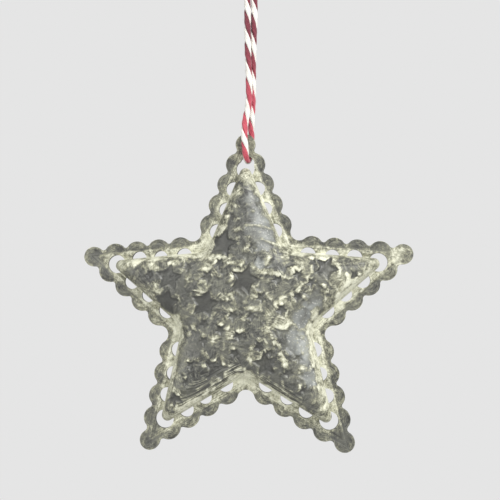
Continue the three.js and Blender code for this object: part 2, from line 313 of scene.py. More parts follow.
# Solder
SOLDER_GREY = ("#7c7d7c", "#b4b6b5")
FROST_SIZE = 0.25
SOLDER_BUMP_DISTANCE = 0.00005

# Dyed and undyed cotton; the first red is the dye painted in shade, the second the dye painted lit
RED_SHADED = ("#54202b", "#8a3a47")
RED_LIT = ("#9c3443", "#cf5f6b")
COTTON_WHITE = ("#c9c5bc", "#e9e6de")
FIBRE_BRUSH = (5.5, 5.5, 0.7)
LINT_SIZE = 0.5


def aged_sheet_material():
    """Dull grey tin with cream rubbed over whatever stands up, and lighter greys painted as sheen where it is
    smooth, with small painted glints
    """
    material, t, shader = new_material("aged_sheet")
    place = t.millimetres()
    grain = t.attribute("grain", "Vector")
    rub = t.attribute("rub")
    tone = t.attribute("tone")
    face = t.attribute("face")
    drawn = t.attribute("drawn")

    streaks = t.noise(t.stretched(grain, RIM_BRUSH), 1, 3, 0.6)
    lumps = {"Vector": place, "Scale": WANDER_SCALE, "Detail": 0.0}
    wander = t.add("ShaderNodeTexNoise", lumps).outputs["Color"]
    slanted = t.stretched(place, (1, 1, 1), FACE_BRUSH_SLANT)
    moved = {0: wander, 1: WANDER_REACH, 2: slanted}
    slanted = t.add("ShaderNodeVectorMath", moved, operation="MULTIPLY_ADD").outputs[0]
    on_face = t.noise(t.stretched(slanted, FACE_BRUSH), 1, 3, 0.68)
    brushed = t.total(streaks, t.times(t.times(face, FACE_BRUSH_SHARE), t.minus(on_face, streaks)))
    scuffs = t.noise(place, SCUFF_SIZE, 3, 0.6)
    speckle = t.noise(place, SPECKLE_SIZE, 4, 0.62)
    grit = t.noise(place, GRIT_SIZE, 2, 0.5)
    clouds = t.noise(place, CLOUD_SIZE, 2, 0.5)
    lines = t.times(drawn, t.minus(streaks, 0.5))

    mottle = t.total(t.times(brushed, 0.64), t.times(t.total(clouds, speckle), 0.18), lines)
    patina = t.mix(t.between(mottle, 0.37, 0.63), colour(DULL_DARK), colour(DULL_PALE))
    patina = t.mix(t.between(clouds, 0.35, 0.7, 0, 0.4), patina, colour(DULL_OLIVE))
    # below nought, tone darkens the patina: in the stars, and along the dark lines, which are painted shadow
    # at the stars, plates and knobs
    patina = t.mix(t.between(tone, 0, -1, 0, 0.85), patina, colour(DEEP_GREY))
    # painted sheen: where tone is above nought the metal is painted lighter greys, and past about 0.85 a
    # still lighter painted gleam
    painted_sheen = t.mix(t.between(scuffs, 0.3, 0.7), colour(SHEEN_PAINT_DARK), colour(SHEEN_PAINT_PALE))
    metal = t.mix(t.between(tone, 0.05, 0.9, 0, 0.95), patina, painted_sheen)
    metal = t.mix(t.between(tone, 0.85, 1.6, 0, 0.9), metal, colour(PAINTED_GLEAM))

    breaks = []
    for pattern, on_rim, on_dome in ((speckle, 1.6, 0.7), (brushed, 1.1, 2.8), (grit, 1.0, 0.5)):
        breaks.append(t.times(t.minus(pattern, 0.5), t.between(face, 0, 1, on_rim, on_dome)))
    amount = t.total(rub, t.total(*breaks, t.times(lines, DRAWN_STRENGTH)))
    covered = t.between(amount, -0.04, 0.82)
    cream = t.mix(t.between(amount, 0.3, 1.35), colour(CREAM_THIN), colour(CREAM_THICK))
    cream = t.mix(t.between(scuffs, 0.45, 0.75, 0, 0.22), cream, colour(CREAM_YELLOW))
    base = t.mix(covered, metal, cream)
    # painted glints: small near-white flecks where the painted sheen is, standing in for tiny highlights
    painted_glints = t.between(t.noise(place, GLINT_SIZE, 1), 0.62, 0.72)
    base = t.mix(t.times(painted_glints, t.between(tone, 0.2, 0.7, 0, 0.5)), base, colour(GLINT_PAINT))

    roughness = t.total(t.times(grit, 0.2), 0.4, t.times(covered, 0.1), t.between(tone, 0.1, 0.8, 0, 0.08))
    metallic = t.between(covered, 0, 1, 0.5, 0.1)
    metallic = t.math("SUBTRACT", metallic, t.between(tone, 0.1, 0.9, 0, 0.3), True)
    height = t.total(t.times(brushed, 0.7), t.times(speckle, 0.35), t.times(covered, 0.25))
    height = t.times(height, t.between(tone, 0.2, 0.8, 1, 0.35))
    bump = t.add("ShaderNodeBump", {"Height": height, "Strength": 0.55, "Distance": BUMP_DISTANCE}).outputs[0]
    wire(t, shader, Base_Color=base, Roughness=roughness, Metallic=metallic, Normal=bump)
    wire(t, shader, Coat_Weight=0.16, Coat_Roughness=0.2)
    return material


def solder_material():
    """Grey tin and lead with a dull skin"""
    material, t, shader = new_material("solder")
    frost = t.noise(t.millimetres(), FROST_SIZE, 3, 0.6)
    base = t.mix(t.between(frost, 0.3, 0.7), *map(colour, SOLDER_GREY))
    roughness = t.between(frost, 0.2, 0.8, 0.28, 0.55)
    bumps = {"Height": frost, "Strength": 0.3, "Distance": SOLDER_BUMP_DISTANCE}
    bump = t.add("ShaderNodeBump", bumps).outputs[0]
    wire(t, shader, Base_Color=base, Roughness=roughness, Metallic=0.95, Normal=bump)
    return material


def twine_material():
    """Cotton: one ply dyed red and one left white; the red is painted darker towards the top, as shade, and
    lighter towards the star
    """
    material, t, shader = new_material("twine")
    lay = t.attribute("lay_place", "Vector")
    ply = t.attribute("ply")
    light_falloff = t.attribute("light_falloff")
    fibres = t.noise(t.stretched(lay, FIBRE_BRUSH), 1, 3, 0.65)
    lint = t.noise(lay, LINT_SIZE, 2, 0.6)

    shaded_red = t.mix(t.between(fibres, 0.3, 0.7), *map(colour, RED_SHADED))
    lit_red = t.mix(t.between(fibres, 0.3, 0.7), *map(colour, RED_LIT))
    # painted shade: the red darkens towards the top of the twine
    red = t.mix(t.between(light_falloff, 0, 1), shaded_red, lit_red)
    white = t.mix(t.between(fibres, 0.25, 0.6), *map(colour, COTTON_WHITE))
    edge = t.total(ply, t.times(t.minus(lint, 0.5), 0.22))
    base = t.mix(t.between(edge, -0.2, -0.1), white, red)
    bump = t.add("ShaderNodeBump", {"Height": fibres, "Strength": 0.6, "Distance": BUMP_DISTANCE}).outputs[0]
    wire(t, shader, Base_Color=base, Roughness=0.92, Normal=bump, Sheen_Weight=0.35, Sheen_Roughness=0.5)
    return material


def floor_material():
    """Plain pale floor"""
    material, t, shader = new_material("plain_floor")
    wire(t, shader, Base_Color=(FLOOR_GREY, FLOOR_GREY, FLOOR_GREY, 1), Roughness=0.95)
    return material


# Meshes

def mesh_object(name, vertices, faces, material, attributes=None):
    """A smooth mesh in metres. attributes holds a number or three for each vertex."""
    mesh = bpy.data.meshes.new(name)
    mesh.from_pydata([tuple(v) for v in vertices], [], [tuple(f) for f in faces])
    mesh.shade_smooth()
    for key, values in (attributes or {}).items():
        values = np.asarray(values, np.float32)
        kind, field = ("FLOAT_VECTOR", "vector") if values.ndim == 2 else ("FLOAT", "value")
        mesh.attributes.new(key, kind, "POINT").data.foreach_set(field, values.ravel())
    mesh.materials.append(material)
    made = bpy.data.objects.new(name, mesh)
    bpy.context.scene.collection.objects.link(made)
    return made


def apply_tree(made, tree, values):
    """Runs a Geometry Nodes tree on an object and keeps its result as a plain mesh"""
    modifier = made.modifiers.new(tree.name, "NODES")
    modifier.node_group = tree
    for socket in tree.interface.items_tree:
        if socket.in_out == "INPUT" and socket.name in values:
            modifier[socket.identifier] = values[socket.name]
    evaluated = made.evaluated_get(bpy.context.evaluated_depsgraph_get())
    old = made.data
    made.data = bpy.data.meshes.new_from_object(evaluated)
    made.modifiers.remove(modifier)
    made.data.name = made.name
    bpy.data.meshes.remove(old)
    return made


def new_tree(name, sizes):
    """A Geometry Nodes tree with a geometry, a material and named sizes as inputs"""
    group = bpy.data.node_groups.new(name, "GeometryNodeTree")
    group.interface.new_socket("Geometry", in_out="INPUT", socket_type="NodeSocketGeometry")
    for size, kind in sizes.items():
        group.interface.new_socket(size, in_out="INPUT", socket_type=kind)
    group.interface.new_socket("Finish", in_out="INPUT", socket_type="NodeSocketMaterial")
    group.interface.new_socket("Geometry", in_out="OUTPUT", socket_type="NodeSocketGeometry")
    t = Tree(group)
    return group, t, t.add("NodeGroupInput").outputs


def end_tree(t, shape, finish):
    real = t.add("GeometryNodeRealizeInstances", {"Geometry": shape}).outputs[0]
    done = t.add("GeometryNodeSetMaterial", {"Geometry": real, "Material": finish}).outputs[0]
    t.add("NodeGroupOutput", {"Geometry": done})


# Outline of the star, in its own frame: u along an arm, v across it

HALF_TURN = math.pi / ARMS
tip_point = np.array([TIP_RADIUS, 0.0])
corner_point = CORNER_RADIUS * np.array([math.cos(HALF_TURN), math.sin(HALF_TURN)])
side_length = np.linalg.norm(corner_point - tip_point)
side_direction = (corner_point - tip_point) / side_length
side_outward = np.array([side_direction[1], -side_direction[0]])
side_angle = math.atan2(side_direction[1], -side_direction[0])
scallop_spacing = side_length / SCALLOPS_PER_SIDE
side_distance = TIP_RADIUS * math.sin(side_angle)
foot_distance = side_distance - FOOT_INSET


def scallop_centre(index):
    return tip_point + side_direction * index * scallop_spacing


def scallop_radius(index):
    return TIP_SCALLOP_RADIUS if index == 0 else SCALLOP_RADIUS


def angle_from(centre, point):
    return math.atan2(point[1] - centre[1], point[0] - centre[0])


def arc(centre, radius, start, end):
    steps = max(2, math.ceil(abs(end - start) * radius / EDGE_STEP))
    angles = np.linspace(start, end, steps + 1)
    return np.stack([centre[0] + radius * np.cos(angles), centre[1] + radius * np.sin(angles)], 1)


def notch_between(index):
    """Centre and radius of the rounding that touches two neighbouring scallops"""
    near, far = scallop_radius(index), scallop_radius(index + 1)
    wanted = TIP_NOTCH_FILLET if index == 0 else NOTCH_FILLET
    radius = max(wanted, NOTCH_REACH * scallop_spacing - min(near, far))
    a, b = near + radius, far + radius
    along = (scallop_spacing**2 + a**2 - b**2) / (2 * scallop_spacing)
    out = math.sqrt(a**2 - along**2)
    return scallop_centre(index) + side_direction * along + side_outward * out, radius


def corner_rounding():
    """Centre and radius of the rounding between two arms"""
    last = scallop_centre(SCALLOPS_PER_SIDE - 1)
    bisector = np.array([math.cos(HALF_TURN), math.sin(HALF_TURN)])
    along = last @ bisector
    across = abs(last[0] * bisector[1] - last[1] * bisector[0])
    back = CORNER_EDGE_RADIUS - along
    radius = (across**2 + back**2 - SCALLOP_RADIUS**2) / (2 * (SCALLOP_RADIUS - back))
    return bisector * (CORNER_EDGE_RADIUS + radius), radius


def half_arm_outline():
    """The sheet's edge from an arm's tip to the middle of the next corner"""
    stretches = []
    start = 0.0
    for i in range(SCALLOPS_PER_SIDE):
        centre = scallop_centre(i)
        last = i == SCALLOPS_PER_SIDE - 1
        notch, radius = corner_rounding() if last else notch_between(i)
        end = angle_from(centre, notch)
        stretches.append(arc(centre, scallop_radius(i), start, end))
        if last:
            stretches.append(arc(notch, radius, end - math.pi, HALF_TURN - math.pi)[1:])
        else:
            start = angle_from(scallop_centre(i + 1), notch)
            stretches.append(arc(notch, radius, end - math.pi, start - math.pi)[1:-1])
    return np.concatenate(stretches)


def half_foot():
    """The dome's foot from an arm's tip to the middle of the next corner"""
    tip = np.array([(foot_distance - FOOT_TIP_RADIUS) / math.sin(side_angle), 0.0])
    reach = (foot_distance + FOOT_CORNER_RADIUS) / math.sin(HALF_TURN + side_angle)
    corner = reach * np.array([math.cos(HALF_TURN), math.sin(HALF_TURN)])
    outward = math.pi / 2 - side_angle
    round_tip = arc(tip, FOOT_TIP_RADIUS, 0, outward)
    round_corner = arc(corner, FOOT_CORNER_RADIUS, outward - math.pi, HALF_TURN - math.pi)
    steps = math.ceil(np.linalg.norm(round_corner[0] - round_tip[-1]) / EDGE_STEP)
    share = np.linspace(0, 1, steps + 1)[1:-1, None]
    edge = round_tip[-1] + (round_corner[0] - round_tip[-1]) * share
    return np.concatenate([round_tip, edge, round_corner])


def turned(points, angle):
    c, s = math.cos(angle), math.sin(angle)
    return points @ np.array([[c, s], [-s, c]])


def round_the_star(half):
    """A half arm, mirrored and repeated, with the first arm pointing up"""
    mirrored = (half * [1, -1])[::-1]
    arm = np.concatenate([mirrored[1:-1], half])
    return np.concatenate([turned(arm, math.pi / 2 + 2 * HALF_TURN * i) for i in range(ARMS)])


def folded(points):
    """Points of the whole star laid onto half an arm: u along it, v across it, their angle and radius"""
    angle = np.arctan2(points[:, 1], points[:, 0]) - math.pi / 2
    radius = np.hypot(points[:, 0], points[:, 1])
    within = np.abs((angle + HALF_TURN) % (2 * HALF_TURN) - HALF_TURN)
    return radius * np.cos(within), radius * np.sin(within), within, radius


def inside_polygon(points, polygon):
    """True where a point is inside a closed polygon"""
    inside = np.zeros(len(points), bool)
    x, y = points[:, 0], points[:, 1]
    for (x1, y1), (x2, y2) in zip(polygon, np.roll(polygon, -1, 0)):
        if y1 != y2:
            crosses = (y1 > y) != (y2 > y)
            inside ^= crosses & (x < (x2 - x1) * (y - y1) / (y2 - y1) + x1)
    return inside


def holes(side):
    """Centre and radius of each punch; side is 1 where the star's right is +x"""
    made = []
    for arm in range(ARMS):
        spots = [((TIP_HOLE_DISTANCE, 0), TIP_HOLE_RADIUS)]
        for scallop, shift, inset, radius in SIDE_HOLES:
            u, v = scallop_centre(scallop) + side_direction * shift - side_outward * inset
            spots += [((u, v), radius), ((u, -v), radius)]
        for centre, radius in spots:
            made.append((turned(np.array([centre]), math.pi / 2 + 2 * HALF_TURN * arm)[0], radius))
    x, distance, radius = HANGING_HOLE
    made.append((np.array([side * x, distance]), radius))
    return made


# Embossing, in millimetres. Angles are in degrees, from +x towards +z.

# the insides of these stars count as smooth sheet and get the painted sheen
SHINY_STARS = [  # x, z, radius, angle of one point
    (11.2, 13.2, 4.9, -12), (13.4, -9.8, 5.2, -4), (21, 2.5, 4.2, 12), (20, -20.5, 4.6, 30),
]
DULL_STARS = [
    (0.2, 7.7, 4.8, 0), (-6.3, 18.6, 4.6, 5), (-11.5, 0.6, 4.5, 5), (24.2, 11.2, 3.7, 62),
    (-22.5, 8.5, 4.4, 10), (-23.2, 1.2, 4.2, 8), (6.3, -17, 4, 25), (-8, -18.5, 4, 8),
    (-20.4, -27.4, 2.2, 40),
]
SMALL_STARS = [  # x, z, radius
    (-7.3, 12.7, 1.8), (-10.9, 8.8, 2), (-16.7, 11.8, 1.8), (2.8, 17.4, 1.7), (9.9, 7.7, 1.8),
    (16, 9.3, 1.8), (15.7, 2.7, 1.7), (5.2, 2.4, 1.8), (2.4, -3, 1.9), (10.9, -1, 1.7), (-3.2, -2.8, 1.8),
    (-1.5, -8.9, 1.8), (-2.9, -13.9, 1.8), (4.5, -11.7, 1.7), (-11.8, -5.3, 1.7), (-11.8, -10.3, 1.7),
    (7.6, -13.7, 1.7), (15.9, -15.3, 1.7), (13, -19.5, 1.6), (-15.9, -17.6, 1.6), (19.9, 6.8, 1.7),
    (-6.8, -7, 1.8), (32.4, 8.9, 1.6), (-28.5, 9.5, 1.5), (-17.5, -22.5, 1.5), (17.5, -24.5, 1.5),
    (-3.4, 27, 1.5),
]
PIPS = [  # x, z
    (-17.3, 8.1), (-1.9, 20.2), (-1.6, 18.6), (-12.1, -8.4), (-3.7, -1.3), (-6.5, -5.5), (-4.6, -6.4),
    (-1.8, -7.3), (-3, -12.3), (-16.6, -16), (-8.4, -15.9), (-9.7, -17.6), (2.3, -0.6), (10.9, 0.6),
    (4.4, -9.4), (6.7, -10.5), (9.2, -15.9), (11.7, -17), (17.1, -13.7), (0.1, -18.4), (11.2, -22),
    (7.3, -20.6), (16.2, 3.8), (17.6, 2.8), (-1.5, 26), (2.7, 28.3), (28.2, 9.4), (-35.6, 12.2),
    (-33, 12.5), (-30.8, 11.9), (-27.8, 12.6), (-22.6, 12.9), (-21.4, 12.5), (-24.6, -20.6),
    (-22.9, -22.6), (8.9, -18.2), (10.6, -19.6), (-21.8, -29.2), (-19.2, -26.2),
]
KNOBS = [(19.8, 14.2, 1.0), (30.2, 9.1, 0.9), (23.6, 5.8, 1.1)]  # x, z, radius: a painted shadow lies to the upper right of each
PLATES = [  # outlines in x, z of what stands between the stars, worn to cream
    [(-6.2, 14.9), (-4.6, 13.3), (-2.6, 13.6), (1, 14.4),
     (0.4, 12.7), (-0.7, 11.6), (-3.4, 12.3), (-5, 12.1)],
    [(-15.3, 4.8), (-13, 5.4), (-11.6, 6.9), (-9.8, 6.6),
     (-9, 6.2), (-10.4, 5.2), (-11, 3.9), (-12.2, 3.8)],
    [(-16.4, 13.4), (-13.2, 14.2), (-9.6, 15.4), (-6.4, 15.6),
     (-7.2, 13.9), (-8.3, 12.6), (-10.2, 10.6), (-13.4, 10.6)],
    [(-9.5, 10.3), (-7.8, 10.2), (-6.3, 9.6), (-6.4, 8.4), (-7.6, 8.2), (-8.8, 9)],
    [(-6, 8.4), (-4.6, 9.6), (-3, 9.2), (-2.9, 8), (-4.2, 6.8), (-5.4, 6.9)],
    [(-9, 4.6), (-7.4, 4.4), (-5.2, 3), (-3.8, 1.9), (-5.4, 1.2), (-6.8, 1.8), (-8.2, 3)],
    [(5.4, 17.6), (6.6, 16.6), (8.3, 14.3), (6.4, 11.8), (5, 12.4), (5.8, 14.4)],
    [(3.4, 9.8), (6.4, 10.6), (9.6, 11.4), (11.2, 10.8), (12.8, 8.6),
     (14.6, 8.3), (13, 7.5), (10.6, 8.6), (6.8, 9.2)],
    [(1.8, 6.2), (4.6, 6.6), (4.4, 5.6), (3.4, 5.2), (5.6, 4), (4.2, 3.5), (2.6, 4.2)],
    [(12.6, 11), (13.6, 13), (17.5, 13.4), (20.2, 12.2),
     (20.4, 9.6), (18.6, 7.8), (16.6, 8.6), (13.6, 9.4)],
    [(18.4, 14.6), (20.6, 13.4), (22.4, 12.4), (25.4, 13.8), (25, 14.6), (22, 14.9), (20, 14.9)],
    [(8.2, -5.6), (9.6, -2.9), (10.9, -2.3), (12, -3.6),
     (13.2, -3.8), (14, -5), (12.4, -7), (10.6, -6.9)],
    [(5, -4.4), (6.4, -5.4), (8.2, -7.4), (9.9, -9.4), (9, -11.4), (8, -11.8), (8.4, -9.8), (6.6, -8)],
    [(9.2, -13.8), (10.8, -12.4), (12.4, -12.4), (14, -14.4), (12.8, -14.6), (11.4, -13.8), (10, -14.6)],
    [(15.6, -18), (17, -17.6), (18.6, -18), (20.4, -16.2), (20.6, -17.6), (19, -19.2), (17, -19.4)],
    [(18.8, -3), (20.4, -0.2), (22.4, -1), (21.6, -2.6), (20, -4.4)],
    [(-8, -4), (-6.6, -4.2), (-5.8, -5.4), (-6.6, -6.2), (-7.8, -5.4)],
    [(-5.6, -8.6), (-4.4, -7.2), (-3.2, -8.2), (-2.8, -9.6), (-4.2, -10), (-5.4, -9.8)],
    [(-13.4, -17.6), (-12.6, -16.6), (-11, -16.6), (-10.8, -17.6), (-12, -18.2)],
    [(-29.5, 6.5), (-27.4, 4.4), (-25.2, 3.4), (-23.9, 5), (-24.8, 6.4), (-26.6, 6.6)],
    [(-22.8, 13.8), (-20.6, 12), (-19, 12.2), (-19.8, 13.8)],
    [(21.6, 6.2), (23.2, 7), (25, 5.2), (24.8, 3.6), (23.9, 4.8), (22.6, 5.9)],
    [(-0.4, -0.3), (2.2, 0.6), (5.2, 0), (5.6, -1.8), (3.6, -1.6), (1, -1.2)],
    [(-8.4, 21.4), (-6.4, 21.2), (-5, 23.2), (-4.2, 27), (-5.8, 27.6), (-7.2, 24.4)],
    [(28.6, 4.4), (31.4, 6.6), (34.6, 9.4), (33.6, 10), (30.4, 8.4), (28, 6)],
    [(-19, -19.6), (-17.6, -19.2), (-16.8, -20.6), (-17.6, -21.8), (-17.8, -20.6)],
    [(13.6, -22.2), (15.4, -21.2), (17, -23), (16, -25.2), (14.8, -24.6), (15.4, -23.2)],
]
RIDGES = [  # chains of x, z
    [(-15, 4.8), (-11.5, 3.9)], [(6.9, -5), (8.4, -9.4)], [(-9.4, -0.6), (-4, -0.9), (0, -0.4)],
    [(-38, 11.9), (-35.5, 12.4)], [(-2.8, -17.4), (-9, -20.4), (-16.8, -24.4)],
    [(0.6, 24), (3.4, 24), (8, 23)], [(5.4, 19.8), (8.4, 18.6), (11.4, 17.8)],
    [(-4.4, 3.3), (-2.2, 4.3), (-0.4, 2.6)], [(-30.4, 11.6), (-28.4, 12.4)],
    [(-3.4, -20.2), (-9.4, -22.6)], [(-6, -10.4), (-1, -11.4), (3.6, -11.2)], [(-16.6, 9.6), (-14, 9)],
    [(-16.4, 8.4), (-13.6, 8)], [(25.6, 12.2), (33, 12.4), (38.6, 13)], [(2.6, -20.4), (7.6, -22)],
    [(-24.6, -22), (-25.4, -28.6)],
]
SMOOTH_PATCHES = [  # x, z, radius: smooth sheet with little embossing, painted lighter greys as its sheen
    (6, 22.5, 5.8), (2.2, 22.4, 3), (3.4, 27.6, 3), (2, 32, 1.8), (4.6, 18.2, 2.6), (15, -10, 4.4),
    (17.5, -14, 3.2), (20.3, -20.5, 3.2), (17.2, -3.4, 3), (5, 12.6, 1.8), (6, 18, 2), (19, 0.5, 2.4),
]
CALM_PATCHES = [  # sheet with little embossing and no painted sheen
    (-16, -11.2, 4.4), (-22, 8, 3.4), (-12, 0.6, 2.4), (-8.4, -19.6, 2.4), (33, 11.4, 2.6),
    (2, -8.6, 1.8),
]
DRAWN_PATCHES = [  # sheet with dark lines drawn along the edge
    (-3.5, -18.5, 3), (-8, -21.5, 4), (-13.5, -24, 4), (-18.5, -27.5, 3), (5.5, -22, 3), (10.5, -24, 2.8),
    (14.5, -26.6, 2.2),
]
WIDE_WALLS = [  # places where the dome's plain foot is wide
    (-13, 17.5, 6), (14, 18.4, 5), (22, -7, 5), (-21.5, -7, 6), (0, -22.5, 7), (22, -15, 6), (23, -22, 4),
    (-23, -16, 4), (-24, -24, 4), (0, 39.5, 3.4), (-38, 13, 3.6), (38.6, 12.4, 3.4), (-23.5, -32.6, 2.6),
    (23.6, -32.4, 3.2), (-17, -29, 5), (-33, 13.8, 2.6), (34, 8.6, 4), (-25.5, 13.8, 3), (28.6, 4.2, 3.6),
]
